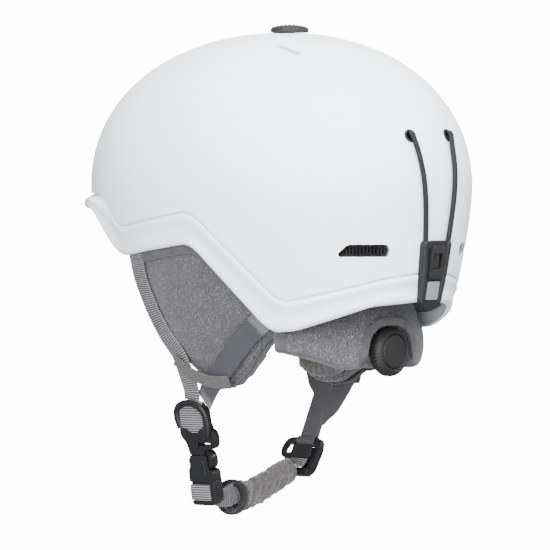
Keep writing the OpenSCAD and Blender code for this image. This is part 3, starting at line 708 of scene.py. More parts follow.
def lay_uv(piece, n, run, around):
    """UV map of a loft in millimetres: U round each ring and V along the run"""
    layer = piece.data.uv_layers.new(name="UVMap")
    for polygon in piece.data.polygons:
        for corner in polygon.loop_indices:
            index = piece.data.loops[corner].vertex_index
            row, column = divmod(index, n)
            layer.data[corner].uv = (column * around / n, run[min(row, len(run) - 1)])


def mark_ribs(piece, values):
    """How ribbed the webbing is at each of its points, from 0 to 1, which also sets how much painted rib
    highlight and shade it shows
    """
    ribs = piece.data.attributes.new("ribs", "FLOAT", "POINT")
    ribs.data.foreach_set("value", values)


def webbing(name, path, normals, width, thick, body, replaces=(), ribbed=None, look="webbing", fade=0.0):
    """Ribbed webbing along a path, facing its normals"""
    rows, run = strip_rows(path, normals, width, thick, RIB_DEPTH, ribbed, fade), run_along(path)
    points, faces = loft(rows)
    piece = mesh_piece(name, points, faces, look, body, replaces, 60, outward=False)
    n = len(rows[0])
    lay_uv(piece, n, run, 2 * width)
    mark_ribs(piece, [ribbed(run[i // n]) if ribbed else 1.0 for i in range(len(points))])
    turn_outward(piece)
    return piece


def tube(name, path, diameter, look, body, replaces=(), sides=14):
    """A round cord along a path, with domed ends"""
    rows, run = [], run_along(path)
    side = Vector((1, 0.1, 0))
    for i, p in enumerate(path):
        t = heading(path, i)
        side = (side - t * side.dot(t)).normalized()
        v = t.cross(side)
        near = min(run[i], run[-1] - run[i]) / (diameter / 2)
        share = math.sqrt(max(0.02, 1 - (1 - min(1, near)) ** 2))
        rows.append([p + (side * c + v * s) * diameter / 2 * share for c, s in circle(sides)])
    points, faces = loft(rows)
    piece = mesh_piece(name, points, faces, look, body, replaces, 180)
    lay_uv(piece, sides, run, math.pi * diameter)
    return piece


# ---------------------------------------------------------------- soft pieces

def inflate(piece, pressure, steps, cap, pins=None, stiff=8.0):
    """Swells a closed mesh with a cloth simulation; a point moves at most cap millimetres.
    pins(point) is how firmly a point is held, from 0 to 1."""
    mesh = piece.data
    start = np.empty(len(mesh.vertices) * 3, np.float32)
    mesh.vertices.foreach_get("co", start)
    scene = bpy.context.scene
    cloth = piece.modifiers.new("cloth", "CLOTH")
    settings = cloth.settings
    settings.quality, settings.mass = 5, 0.25
    settings.tension_stiffness = settings.compression_stiffness = stiff
    settings.shear_stiffness, settings.bending_stiffness = stiff / 2, 0.4
    settings.use_pressure, settings.uniform_pressure_force = True, pressure
    settings.effector_weights.gravity = 0
    if pins:
        group = piece.vertex_groups.new(name="held")
        for vertex in mesh.vertices:
            group.add([vertex.index], max(0.0, min(1.0, pins(vertex.co / MM))), "REPLACE")
        settings.vertex_group_mass = "held"
    cloth.point_cache.frame_start, cloth.point_cache.frame_end = 1, steps
    for step in range(1, steps + 1):
        scene.frame_set(step)
    graph = bpy.context.evaluated_depsgraph_get()
    posed = piece.evaluated_get(graph).data
    end = np.empty(len(posed.vertices) * 3, np.float32)
    posed.vertices.foreach_get("co", end)
    piece.modifiers.remove(cloth)
    if pins:
        piece.vertex_groups.clear()
    scene.frame_set(1)
    move = (end - start).reshape(-1, 3)
    length = np.linalg.norm(move, axis=1, keepdims=True)
    move *= np.minimum(1.0, cap * MM / np.maximum(length, 1e-9))
    mesh.vertices.foreach_set("co", (start.reshape(-1, 3) + move).astype(np.float32).ravel())
    mesh.update()


def remeshed(piece, voxel):
    remesh = piece.modifiers.new("remesh", "REMESH")
    remesh.mode, remesh.voxel_size, remesh.adaptivity = "VOXEL", voxel * MM, 0
    return baked(piece)


def relaxed(piece, factor, rounds):
    calm = piece.modifiers.new("relax", "SMOOTH")
    calm.factor, calm.iterations = factor, rounds
    return baked(piece)


def subdivided(piece, levels):
    finer = piece.modifiers.new("finer", "SUBSURF")
    finer.levels = finer.render_levels = levels
    return baked(piece)


def padded_piece(name, form, look, body, cap, voxel=4.0, pressure=4.0, pins=None):
    """A soft closed form: remeshed evenly, swollen like a stuffed pad and subdivided"""
    replaces = (name,)
    piece = mesh_piece(name, *form, look, body, replaces, 180)
    remeshed(piece, voxel)
    relaxed(piece, 0.5, 3)
    inflate(piece, pressure, 16, cap, pins)
    relaxed(piece, 0.4, 2)
    subdivided(piece, 1)
    smooth(piece, 180)
    dress(piece, look, body, replaces)
    return piece


def mirrored(source, name, replaces, body="helmet"):
    """The same piece for the other side"""
    mesh = source.data.copy()
    mesh.transform(Matrix.Scale(-1, 4, (1, 0, 0)))
    mesh.flip_normals()
    piece = new_object(name, mesh)
    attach(piece, body)
    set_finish(piece, source["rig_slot"])
    if replaces:
        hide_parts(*replaces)
    return piece


def padded_pair(stem, form, look, cap, voxel=4.0, pressure=4.0, pins=None):
    """The same soft piece on the wearer's left and right"""
    left = padded_piece(stem + "_left", form, look, "helmet", cap, voxel, pressure, pins)
    right = mirrored(left, stem + "_right", (stem + "_right",))


# ---------------------------------------------------------------- the helmet's form, in millimetres

SHELL_W, SHELL_FRONT, SHELL_BACK, CROWN, POWER = 106.0, 141.0, 132.0, 100.0, 2.12
WALL, SEAM_GAP, BRIM = 2.5, 1.2, 5.0
FOAM_TOP, AIR_GAP, FOAM_SIDE, FOAM_END, PAD = 22.0, 8.0, 18.0, 27.0, 6.0
SEAM = [(-90, -5), (-35, -5), (-26, -26), (5, -14), (32, -73), (70, -57), (90, -53)]
EDGE = [(-90, -12), (-40, -15), (-29, -45), (3, -35), (27, -92), (36, -91), (65, -75), (90, -72)]
COLUMNS = 240


def lookup(x, keys):
    """The value at x, in between the (x, value) keys"""
    return float(np.interp(x, [k[0] for k in keys], [k[1] for k in keys]))


def ease(t):
    """A smooth step from 0 to 1"""
    t = min(1.0, max(0.0, t))
    return t * t * (3 - 2 * t)


def side_angle(a):
    """The angle on the nearer side, from -90 at the front to 90 at the back"""
    return math.degrees(math.asin(max(-1.0, min(1.0, math.sin(math.radians(a))))))


def softened(a, keys):
    """The keys' value at an angle, averaged so that their corners are rounded"""
    return sum(lookup(a + d, keys) for d in (-3, -1.5, 0, 1.5, 3)) / 5


def seam_z(a):
    return softened(side_angle(a), SEAM)


def edge_z(a):
    return softened(side_angle(a), EDGE)


def dome(z, top):
    """How far out the form reaches at a height, as a share of its full width"""
    return 1.0 if z <= 0 else max(0.0, 1 - min(1.0, z / top) ** POWER) ** (1 / POWER)


def narrowing(z, share):
    """How the form draws in below the origin"""
    return 1.0 if z >= 0 else 1 - share * (-z / 95) ** 1.5


def skin_x(z):
    return SHELL_W * narrowing(z, 0.22)


def skin_y(a, z):
    if math.sin(math.radians(a)) > 0:
        return SHELL_BACK * narrowing(z, 0.115)
    return SHELL_FRONT * narrowing(z, 0.02)


def domed(a, z, top, side, end):
    """A point on the helmet's form, set in by side across and by end along"""
    k = dome(z, top)
    return ((skin_x(z) - side) * k * math.cos(math.radians(a)),
            (skin_y(a, z) - end) * k * math.sin(math.radians(a)), z)


def skin(a, z, inset):
    """A point on the outer skin, set in by inset"""
    return domed(a, z, CROWN - inset, inset, inset)


def lining(a, z, inset):
    """A point on the liner's inner face, set further in by inset"""
    return domed(a, z, CROWN - WALL - FOAM_TOP - inset, WALL + FOAM_SIDE + inset, WALL + FOAM_END + inset)


def skin_top(x, y, inset):
    """The skin's height over a point of the plan"""
    reach = (SHELL_BACK if y > 0 else SHELL_FRONT) - inset
    r = math.hypot(x / (SHELL_W - inset), y / reach)
    return (CROWN - inset) * (1 - r ** POWER) ** (1 / POWER)


def back_y(x, z, out):
    """Where the back of the shell is at x and z, or a surface out beyond it"""
    k = dome(z, CROWN + out)
    return (skin_y(90, z) + out) * k * math.sqrt(max(0.0, 1 - (x / ((skin_x(z) + out) * k)) ** 2))


def brim(a):
    """How far the rim stands out round the front"""
    return BRIM * ease((-side_angle(a) - 27) / 16)


def gap(a):
    """The seam is a little closer where it climbs towards the temple"""
    s = side_angle(a)
    closer = ease((s + 44) / 6) * (1 - ease((s + 25) / 6))
    return SEAM_GAP * (1 - 0.4 * closer)


CROWN_VENT, VENT_TURN, VENT_L, VENT_W, VENT_SLIT = (38.0, 37.0), 8.0, 24.0, 8.0, 3.6
BUTTON_Y, SLOT_Y, SLOT_L, SLOT_W = 4.0, -1.0, 19.0, 7.0


def vent_sides(x, y):
    """How far a point lies along and across the nearer crown vent"""
    s = 1 if x >= 0 else -1
    turn = math.radians(90 - s * VENT_TURN)
    dx, dy = x - s * CROWN_VENT[0], y - CROWN_VENT[1]
    return dx * math.cos(turn) + dy * math.sin(turn), -dx * math.sin(turn) + dy * math.cos(turn)


def dimpled(point):
    """Sinks the crown round its vents into shallow dishes"""
    x, y, z = point
    if z < 30:
        return point
    u, v = vent_sides(x, y)
    q = (u / 27) ** 2 + (v / 11) ** 2
    return (x, y, z - 1.7 * (1 - q) ** 2) if q < 1 else point


def crown_vent_cutter(s, length, width):
    turn = math.radians(90 - s * VENT_TURN)
    return prism(slot_outline(length, width), 40, 120, lambda u, v, w: (
        s * CROWN_VENT[0] + u * math.cos(turn) - v * math.sin(turn),
        CROWN_VENT[1] + u * math.sin(turn) + v * math.cos(turn), w))


def rear_vent_place(s):
    """Places u towards the back, v up and w out of a rear side vent"""
    p = skin(61, -39, 0)
    turn = math.atan2(p[1] / skin_y(90, -39) ** 2, p[0] / skin_x(-39) ** 2)

    def place(u, v, w):
        x = p[0] + w * math.cos(turn) - u * math.sin(turn)
        return s * x, p[1] + w * math.sin(turn) + u * math.cos(turn), p[2] + v
    return place


def rear_vent_outline(grow=0.0):
    """Blunt at its rear end and slanting off towards its front"""
    l, h = 16.5 + grow, 4 + grow
    return filleted([(l - 2, h), (l, h - 2), (l, -h + 3), (l - 1, -h), (-l, -h), (-l - 1, -h + 2),
                     (-l + 4, h - 1), (-l + 6, h)], 1.2, 3)


EYELET_X, EYELET_Z, EYELET_TURN, EYELET_SLOPE = 18, 34, 12, 22


def eyelet_matrix(s):
    at = (s * EYELET_X, back_y(EYELET_X, EYELET_Z, 0), EYELET_Z)
    return (Matrix.Translation(at) @ Matrix.Rotation(math.radians(-s * EYELET_TURN), 4, "Z")
            @ Matrix.Rotation(math.radians(-90 + EYELET_SLOPE), 4, "X"))


def round_cutter(matrix, diameter, low, high):
    return prism([(diameter / 2 * c, diameter / 2 * s) for c, s in circle(40)], low, high, placed(matrix))


def dome_levels(bottom, top, low_rows, dome_rows):
    """Heights from a bottom edge to just below the pole of a dome"""
    return ([bottom * (1 - i / low_rows) for i in range(low_rows)]
            + [top * math.sin(math.radians(90) * i / dome_rows) for i in range(dome_rows)])


ANGLES = [360 * i / COLUMNS for i in range(COLUMNS)]
EDGE_R, ROLL_R = 0.8, 2.8


def make_top_shell():
    low, high = 34, 46
    bottoms = [seam_z(a) + gap(a) / 2 for a in ANGLES]
    outer = [dome_levels(b, CROWN, low, high) for b in bottoms]
    inner = [dome_levels(b, CROWN - WALL, low, high) for b in bottoms]
    rows = []
    for i in range(low + high - 1, 0, -2):
        rows.append([dimpled(skin(a, inner[c][i], WALL)) for c, a in enumerate(ANGLES)])
    rows.append([skin(a, bottoms[c], WALL) for c, a in enumerate(ANGLES)])
    for t in quarter(4):
        rows.append([skin(a, bottoms[c] + EDGE_R * (1 - math.cos(t)), EDGE_R * (1 - math.sin(t)))
                     for c, a in enumerate(ANGLES)])
    for i in range(1, low + high):
        row = []
        for c, a in enumerate(ANGLES):
            z = max(outer[c][i], bottoms[c] + EDGE_R * 1.2) if i < 3 else outer[c][i]
            row.append(dimpled(skin(a, z, 0)))
        rows.append(row)
    points, faces = bowl(rows, (0, 0, CROWN - WALL), (0, 0, CROWN))
    shell = mesh_piece("top_shell", points, faces, "shell", "helmet", ("top_shell",), 40)
    cutters = [crown_vent_cutter(s, VENT_L, VENT_SLIT) for s in (1, -1)]
    cutters += [prism(rear_vent_outline(), -12, 12, rear_vent_place(s)) for s in (1, -1)]
    cutters += [round_cutter(eyelet_matrix(s), 7.2, -8, 8) for s in (1, -1)]
    slot = [(across, along) for along, across in slot_outline(SLOT_L, SLOT_W)]
    cutters.append(prism(slot, 80, 120, lambda u, v, w: (u, v + SLOT_Y, w)))
    cut(shell, cutters)
    smooth(shell, 38)


def rim_profile(a):
    """Heights and insets of the rim's section: a flange in the seam, a crisp top edge, a band that
    is a little hollow in its middle and a rolled lower edge"""
    top, low, out = seam_z(a) - gap(a) / 2, edge_z(a), brim(a)
    flange = seam_z(a) + gap(a) / 2 - 0.08
    section = [(flange, WALL - 0.1), (flange, 1.8), (top - 0.3, 1.75), (top - 0.1, 1.3)]
    section += [(top - EDGE_R * (1 - math.cos(t)), EDGE_R * (1 - math.sin(t))) for t in quarter(4)]
    start, end = top - EDGE_R, low + ROLL_R
    for k in range(1, 12):
        t = k / 12
        hollow = math.sin(math.pi * min(1, max(0, (t - 0.12) / 0.88))) ** 2
        ridge = math.exp(-(t / 0.12 - 1) ** 2)
        section.append((start + (end - start) * t, 0.75 * hollow - 0.35 * ridge - out * ease(t / 0.42)))
    section += [(low + ROLL_R * (1 - math.sin(t)), ROLL_R * (1 - math.cos(t)) - out) for t in quarter(6)]
    section += [(low + 0.1, ROLL_R + 0.5 - out), (low + 0.7, 3.7 - out * 0.3), (low + 1.8, 3.8),
                (low + 3.0, 3.2), (low + 3.4, WALL)]
    return section


def make_lower_rim():
    rows = [[skin(a, z, inset) for z, inset in rim_profile(a)] for a in ANGLES]
    points, faces = loft(rows, closed=True)
    mesh_piece("lower_rim", points, faces, "shell", "helmet", ("lower_rim",), 40)


def make_liner():
    outer_gap, outer_top, inner_top = WALL + 0.35, CROWN - WALL - AIR_GAP, CROWN - WALL - FOAM_TOP
    angles = ANGLES[::2]
    low, high = 18, 24
    bottoms = [edge_z(a) + 10 for a in angles]
    out_z = [dome_levels(b + 3, outer_top, low, high) for b in bottoms]
    in_z = [dome_levels(b + 4, inner_top, low, high) for b in bottoms]

    def outer(c, z, inset=0.0):
        return domed(angles[c], z, outer_top, outer_gap + inset, outer_gap + inset)
    columns = range(len(angles))
    rows = [[lining(angles[c], in_z[c][i], 0) for c in columns] for i in range(low + high - 1, -1, -1)]
    for t in quarter(5)[1:]:
        up, inset = 4 * (1 - math.sin(t)), -4 * (1 - math.cos(t))
        rows.append([lining(angles[c], bottoms[c] + up, inset) for c in columns])
    for t in quarter(5)[:-1]:
        up, inset = 3 * (1 - math.cos(t)), 3 * (1 - math.sin(t))
        rows.append([outer(c, bottoms[c] + up, inset) for c in columns])
    rows += [[outer(c, out_z[c][i]) for c in columns] for i in range(low + high)]
    points, faces = bowl(rows, (0, 0, inner_top), (0, 0, outer_top))
    liner = mesh_piece("foam_liner", points, faces, "foam", "helmet", ("foam_liner",), 40)
    cutters = [crown_vent_cutter(s, VENT_L - 1, VENT_W - 1) for s in (1, -1)]
    cutters += [prism(rear_vent_outline(-0.5), -40, 12, rear_vent_place(s)) for s in (1, -1)]
    cutters += [round_cutter(eyelet_matrix(s), 11, -12, 8) for s in (1, -1)]
    cut(liner, cutters)
    smooth(liner, 40)


# ---------------------------------------------------------------- pads

def pillow(place, rows=26, sides=30, squareness=4.0, ends=6.0):
    """A closed rounded box; place maps u along, v across and w through it, each from -1 to 1"""
    rings = []
    for i in range(1, rows):
        u = -math.cos(math.pi * i / rows)
        f = (1 - abs(u) ** ends) ** (1 / ends)
        ring = []
        for c, s in circle(sides):
            q = (abs(c) ** squareness + abs(s) ** squareness) ** (-1 / squareness)
            ring.append(place(u, c * q * f, s * q * f))
        rings.append(ring)
    return bowl(rings, place(-1, 0, 0), place(1, 0, 0))


def lining_pillow(a0, a1, z0, z1, thick):
    def place(u, v, w):
        z = (z0 + z1) / 2 + v * (z1 - z0) / 2
        crown = 1 + 0.18 * (1 - u * u) * (1 - v * v)
        depth = 0.5 + (w + 1) / 2 * thick * crown
        return lining((a0 + a1) / 2 + u * (a1 - a0) / 2, z, depth)
    return pillow(place)


def crown_place(half_x, half_y):
    """Places u along, v across and w into the crown pad, which follows the liner's inside"""
    top = CROWN - WALL - FOAM_TOP

    def place(u, v, w):
        x, y = v * half_x, u * half_y
        k = 0.5 + (w + 1) / 2 * 5.0
        reach_x = SHELL_W - WALL - FOAM_SIDE - k
        reach_y = (SHELL_BACK if y > 0 else SHELL_FRONT) - WALL - FOAM_END - k
        r = math.hypot(x / reach_x, y / reach_y)
        return x, y, (top - k) * (1 - r ** POWER) ** (1 / POWER)
    return place


def make_inner_pads():
    padded_piece("brow_pad", lining_pillow(-139, -41, 0, 32, PAD), "lining", "helmet", 1.6)
    padded_pair("side_pad", lining_pillow(-31, 41, 4, 34, PAD), "lining", 1.6)
    cross = both_forms(pillow(crown_place(16, 50)), pillow(crown_place(41, 14.5)))
    padded_piece("crown_pad", cross, "lining", "helmet", 1.5)


EAR_LOW = [(-59, -58), (-56, -70), (-48, -97), (-38, -113), (-24, -127), (-8, -132), (8, -130), (24, -118),
           (38, -104), (55, -91)]
EAR_FRONT, EAR_REAR, EAR_T, EAR_LINING_T = -58.0, 54.0, 13.0, 6.0
EAR_TAPE = ((1.5, 0.2), (1.5, 1.1), (-1.5, 1.9), (-4.4, 2.0), (-5.2, 1.7), (-5.4, 0.9), (-5.2, 0.2))


def ear_x(y, z):
    """The outer face of the left ear pad"""
    return 91.0 + (z + 45) * 0.41 - y * y / 400


def ear_high(y):
    """The upper edge of the left ear pad, just inside the rim"""
    return edge_z(math.degrees(math.asin(y / (SHELL_BACK * 0.96 - max(0, y) / 2)))) + 3


def ear_place(d0, d1, y0, y1, trim, bow=0.5):
    """Places u along the pad from front to rear, v from low to high and w from its outer face in"""
    def place(u, v, w):
        y = (y0 + y1) / 2 + u * (y1 - y0) / 2
        high, low = ear_high(y) - trim, lookup(y, EAR_LOW) + trim
        if high - low < 6:
            low = high - 6
        z = (high + low) / 2 + v * (high - low) / 2
        depth = (d0 + d1) / 2 + w * (d1 - d0) / 2
        return ear_x(y, z) - depth + bow * (1 - v * v) * (-w), y, z
    return place


def make_ear_pads():
    place = ear_place(0.9, EAR_T - 0.9, EAR_FRONT + 0.8, EAR_REAR - 0.8, 0.8)
    padded_pair("ear_pad", pillow(place, 34, 36, 5.0, 9.0), "heather", 1.6, 4.0, 3.5,
                lambda p: 1.0 if p.z > ear_high(p.y) - 5 else 0.0)
    place = ear_place(EAR_T + 0.4, EAR_T + 0.8 + EAR_LINING_T, -47, 47, 4.5, 0.0)
    padded_pair("ear_lining", pillow(place, 28, 30, 4.0, 5.0), "fleece", 1.4, 2.6)


def make_ear_trims():
    """The smooth tape along each pad's upper edge and the piping round its outer face"""
    rows, length = [], EAR_REAR - EAR_FRONT - 3
    for i in range(91):
        y = EAR_FRONT + 1.5 + length * i / 90
        edge = ear_high(y) - 3
        rows.append([(ear_x(y, edge + rise) + proud, y, edge + rise) for rise, proud in EAR_TAPE])
    left = mesh_piece("ear_tape_left", *loft(rows), "tape", "helmet", (), 60)
    mirrored(left, "ear_tape_right", ())
    route = []
    for i in range(61):
        y = EAR_REAR - 1.5 - length * i / 60
        low = lookup(y, EAR_LOW) + 2.2
        route.append((ear_x(y, low) - 0.6, y, low))
    left = tube("ear_piping_left", spline(route, 1.5), 1.7, "tape", "helmet", (), 10)
    mirrored(left, "ear_piping_right", ())


# ---------------------------------------------------------------- straps

FRONT_ROUTE = [(0, -52.5, -40.5), (0, -53, -47), (0, -53, -57), (0, -52, -68), (0, -48.5, -82), (0, -43, -95),
               (0, -34.5, -108.5), (61, -30.5, -122), (58.2, -29, -131.5), (57.2, -29.5, -137.6)]
REAR_ROUTE = [(0, 47.5, -82), (0, 42, -86.5), (0, 30, -95), (0, 17, -105.5), (0, 3, -117), (0, -8, -125),
              (57.4, -15.5, -132.5), (54.9, -20.5, -138)]
FAR_FRONT_ROUTE = FRONT_ROUTE[:7] + [(61.5, -28, -121), (59.2, -23.5, -130.5), (58, -20.6, -139.5)]
FAR_REAR_ROUTE = [(0, 47.5, -82), (0, 42, -86.5), (0, 31, -95), (0, 19, -105), (0, 9, -114.5), (0, 2, -123.5),
                  (58.8, -3, -132), (57.2, -8, -139.5), (56, -12.8, -146.5), (54.6, -18.6, -154.6)]
KEEPER = [(-36, -111.5), (-27, -118), (-14, -123.5), (-2, -125.5), (9, -125)]
WEB_W, WEB_T = 15.0, 1.6


def lifted(route):
    """The same route, never deeper than the ear pad's outer face"""
    return [(max(p[0], ear_x(p[1], p[2]) + (1.0 if p[2] > -48 else 2.2)), p[1], p[2]) for p in route]


def strap_normal(p):
    return Vector((1, 2 * p[1] / 400, -0.41 * min(1, max(0, (p[2] + 140) / 30))))


def strap_path(route):
    path = spline(lifted(route), RIB_PITCH / 4)
    return path, [strap_normal(p) for p in path]


def crossed_over(path, normals):
    """The same path on the wearer's right side"""
    flip = Vector((-1, 1, 1))
    return [p * flip for p in path], [n * flip for n in normals]


def leg(name, path, normals, ribbed=None, fade=0.0):
    """One leg of the strap"""
    webbing(name, path, normals, WEB_W, WEB_T, "helmet", (name,), ribbed, fade=fade)


def make_straps():
    """The four legs and the keeper bands. The lambdas say where along it a leg's weave is ribbed, and so
    where its painted rib highlight and shade show.
    """
    leg("strap_left_front", *strap_path(FRONT_ROUTE))
    leg("strap_right_front", *crossed_over(*strap_path(FAR_FRONT_ROUTE)),
        lambda d: 1 - 0.8 * ease((d - 78) / 12), 0.12)
    path, normals = strap_path(REAR_ROUTE)
    whole = run_along(path)[-1]
    leg("strap_left_rear", path, normals,
        lambda d: 0.15 + 0.85 * max(1 - ease((d - 9) / 4), ease((d - whole + 9) / 5)))
    leg("strap_right_rear", *crossed_over(*strap_path(FAR_REAR_ROUTE)), lambda d: 0.15, 0.15)
    path = spline([(ear_x(y, z) + 5.9, y, z) for y, z in KEEPER], 1.0)
    normals = [Vector((1, 2 * p.y / 400, -0.41)) for p in path]
    left = webbing("keeper_band_left", path, normals, 9, 1.2, "helmet", ("keeper_band_left",),
                   ribbed=lambda d: 0.0, look="band")
    mirrored(left, "keeper_band_right", ("keeper_band_right",))


# ---------------------------------------------------------------- nape band and fit dial

NAPE_Y, NAPE_R, NAPE_T, NAPE_END = -12.0, 97.0, 12.6, 45.6
NAPE_LOW = [(0, -117.5), (12, -118.5), (22, -117), (34, -110), (46, -106)]
NAPE_HIGH = [(0, -66), (20, -70), (34, -86), (46, -93)]
DIAL = (0.0, 87.0, -105.0)
HOUSING_BACK, CAVITY = 73.2, 22.0
# the edge of the covers' opening round the dial, as heights and angles from the middle of the back
OPENING = [(-119, 17), (-116, 14.5), (-111, 11.6), (-105, 10.4), (-98, 9.7), (-93, 8.0), (-90.5, 6.2),
           (-88.8, 3.6), (-88.0, 0), (-87.2, -5)]
NAPE_ARCH = [(16.6, -114.8), (15.2, -112), (14.2, -109), (13.0, -104), (12.2, -98), (11.0, -93), (8.6, -88.8),
             (4.8, -86.0), (0, -85.2)]
NAPE_ARCH += [(-a, z) for a, z in NAPE_ARCH[-2::-1]]


def nape_point(a, r, z):
    return r * math.sin(math.radians(a)), NAPE_Y + r * math.cos(math.radians(a)), z


def nape_bulge(a, z):
    """The cover stands out round the dial, which sits in an opening in it"""
    past = a - lookup(z, OPENING)
    return 8.6 * ease(past / 2.2) * math.exp(-(past / 27) ** 2) * (0.35 + 0.65 * ease((-70 - z) / 16))


def nape_place(u, v, w):
    a = -2.2 + (NAPE_END + 2.2) * (u + 1) / 2
    high, low = lookup(a, NAPE_HIGH) + 2.5, lookup(a, NAPE_LOW) + 0.8
    z = (high + low) / 2 + v * (high - low) / 2
    inner, outer = NAPE_R - NAPE_T + 0.8, NAPE_R - 0.9 + nape_bulge(a, z)
    if a < 30 and abs(z - DIAL[2]) < 15:
        inner = 91.4
    return nape_point(a, (inner + outer) / 2 + w * (outer - inner) / 2, z)


def make_nape_pads():
    padded_pair("nape_pad", pillow(nape_place, 44, 40, 7.0, 14.0), "heather", 1.5, 3.4, 3.0,
                lambda p: 1.0 if p.z > -84 or p.x < 18 else 0.0)


def make_nape_binding():
    """The bound edge of the opening round the dial, which tucks in and thins at its lower ends"""
    path, normals, widths = [], [], []
    for a, z, _ in spline([(a, z, 0) for a, z in NAPE_ARCH], 0.5):
        tuck = ease((-107 - z) / 8)
        p = Vector(nape_point(a, NAPE_R - 0.7 + nape_bulge(abs(a), z) - 7 * tuck, z + 0.8 * tuck))
        path.append(p)
        normals.append(Vector((p.x * 0.94, p.y - NAPE_Y, 0)).normalized())
        widths.append(1 - 0.55 * tuck)
    rows = strip_rows(path, normals, 5.6, 1.5)
    for row, p, share in zip(rows, path, widths):
        row[:] = [p + (q - p) * share for q in row]
    mesh_piece("nape_binding", *loft(rows), "tape", "helmet", (), 60)


def make_nape_ends():
    """Smooth tape over each cover's front end"""
    rows, steps = [], 24
    low, high = lookup(NAPE_END, NAPE_LOW) + 0.9, lookup(NAPE_END, NAPE_HIGH) + 3.2
    for i in range(steps + 1):
        z = low + (high - low) * i / steps
        pinch = 1 - 0.35 * (2 * i / steps - 1) ** 8
        ring = []
        for k in range(steps + 1):
            t = math.radians(-110 + 220 * k / steps)
            a = NAPE_END - 3.2 + 4.4 * pinch * max(0, math.cos(t)) ** 0.5
            r = NAPE_R - NAPE_T / 2 + 0.4 + (NAPE_T / 2 + 0.5) * pinch * math.sin(t)
            ring.append(nape_point(a, r, z))
        rows.append(ring)
    tape = mesh_piece("nape_end_left", *loft(rows), "tape", "helmet", (), 60)
    mirrored(tape, "nape_end_right", ())


def dial_place(u, v, w):
    """Places u to the left, v down and w out of the dial's face"""
    return DIAL[0] + u, DIAL[1] + w, DIAL[2] - v


def knurled(a, r, w):
    """The dial's radius at an angle, with grips round its edge"""
    wall = ease((r - 13.6) / 0.9) * ease((w - 0.2) / 0.6) * ease((6.6 - w) / 1.2)
    return r + wall * (0.55 * abs(math.cos(20 * a)) ** 0.8 - 0.25)


def make_dial():
    """A shallow turned knob: a knurled edge, a sloping shoulder, a groove and a flat disc"""
    profile = [(6, 0), (14.4, 0), (15.1, 0.25), (15.6, 0.8), (15.75, 1.6), (15.75, 2.6), (15.75, 3.6),
               (15.7, 4.6), (15.5, 5.4), (15.1, 6.1), (14.6, 6.8), (14.0, 7.5), (13.4, 8.1), (12.9, 8.45),
               (12.4, 8.5), (12.0, 8.2), (11.8, 7.7), (11.5, 7.35), (11.1, 7.3), (10.8, 7.6), (10.6, 8.1),
               (10.2, 8.45), (9.4, 8.55), (4, 8.6), (1.2, 8.6)]
    points, faces = revolved(profile, 320, dial_place, knurled)
    mesh_piece("fit_dial", points, faces, "dial_plastic", "dial", ("fit_dial",), 50)


def make_dial_backing():
    """A round boss behind the dial, with a channel through it for the racks, and the disc behind it"""
    low, high = HOUSING_BACK - DIAL[1], -0.7
    rim = [(11.8, low), (12.2, low + 0.6), (12.2, high - 0.8), (11.8, high), (3.4, high), (3.4, low)]
    points, faces = turned_ring(rim, 96, dial_place)
    boss = mesh_piece("dial_housing_boss", points, faces, "dial_plastic", "helmet", ("dial_housing",), 50)
    front, back = HOUSING_BACK - 1, HOUSING_BACK + 3.6
    channel = [(-20, front), (20, front), (20, back), (-20, back)]
    cut(boss, [prism(channel, DIAL[2] - CAVITY / 2, DIAL[2] + CAVITY / 2, lambda u, v, w: (u, v, w))])
    smooth(boss, 40)
    plate = nodes["dial_back_plate"]
    depths = [(plate.matrix_world @ Vector(corner)).y / MM - DIAL[1] for corner in plate.bound_box]
    low, high = min(depths), max(depths)
    profile = [(6, low), (12.4, low), (13, low + 0.5), (13, high - 0.4), (12.6, high), (6, high)]
    points, faces = revolved(profile, 96, dial_place)
    mesh_piece("dial_back_disc", points, faces, "dial_plastic", "helmet", ("dial_back_plate",), 50)


# ---------------------------------------------------------------- shell fittings

SKIRT, BUTTON_R, STUD_PITCH, STEM = -0.3, 12.5, 3.7, 2.75


def studs(x, y):
    """The height of the knob's small round studs, in rows along its diagonals"""
    first = math.cos(2 * math.pi * (x - y) / STUD_PITCH)
    second = math.cos(2 * math.pi * (x + y) / STUD_PITCH)
    return 0.9 * (0.5 + 0.25 * first + 0.25 * second) ** 1.2


def make_slider_button():
    """A low studded knob, whose skirt follows the shell, on a square stem"""
    base = skin_top(0, BUTTON_Y, 0) + 0.6
    profile = [(BUTTON_R - 2.4, SKIRT), (BUTTON_R - 0.6, SKIRT), (BUTTON_R - 0.2, SKIRT + 0.3),
               (BUTTON_R, 0.6), (BUTTON_R - 0.1, 1.2)]
    profile += [(BUTTON_R * math.cos(math.radians(t)), 1.2 + 3.2 * math.sin(math.radians(t)) ** 0.9)
                for t in range(8, 90, 3)]
    rings = []
    for r, w in profile:
        ring = []
        for c, s in circle(120):
            x, y = r * c, r * s
            fall = skin_top(x, BUTTON_Y + 0.7 * y, 0) - skin_top(0, BUTTON_Y, 0) if w < 0 else 0
            rise = studs(x, y) * ease((w - 0.6) / 1.2) - 0.45 * ease((w - 1) / 2)
            ring.append((x, BUTTON_Y + y, base + w + fall + rise))
        rings.append(ring)
    knob = bowl(rings, (0, BUTTON_Y, base), (0, BUTTON_Y, base + 4.5))
    square = filleted([(-STEM, -STEM), (STEM, -STEM), (STEM, STEM), (-STEM, STEM)], 0.6, 3)
    stem = prism(square, base - 5.1, base + 0.5, lambda u, v, w: (u, BUTTON_Y + v, w))
    points, faces = both_forms(knob, stem)
    mesh_piece("slider_button", points, faces, "black_plastic", "vent_slider", ("slider_button",), 50)


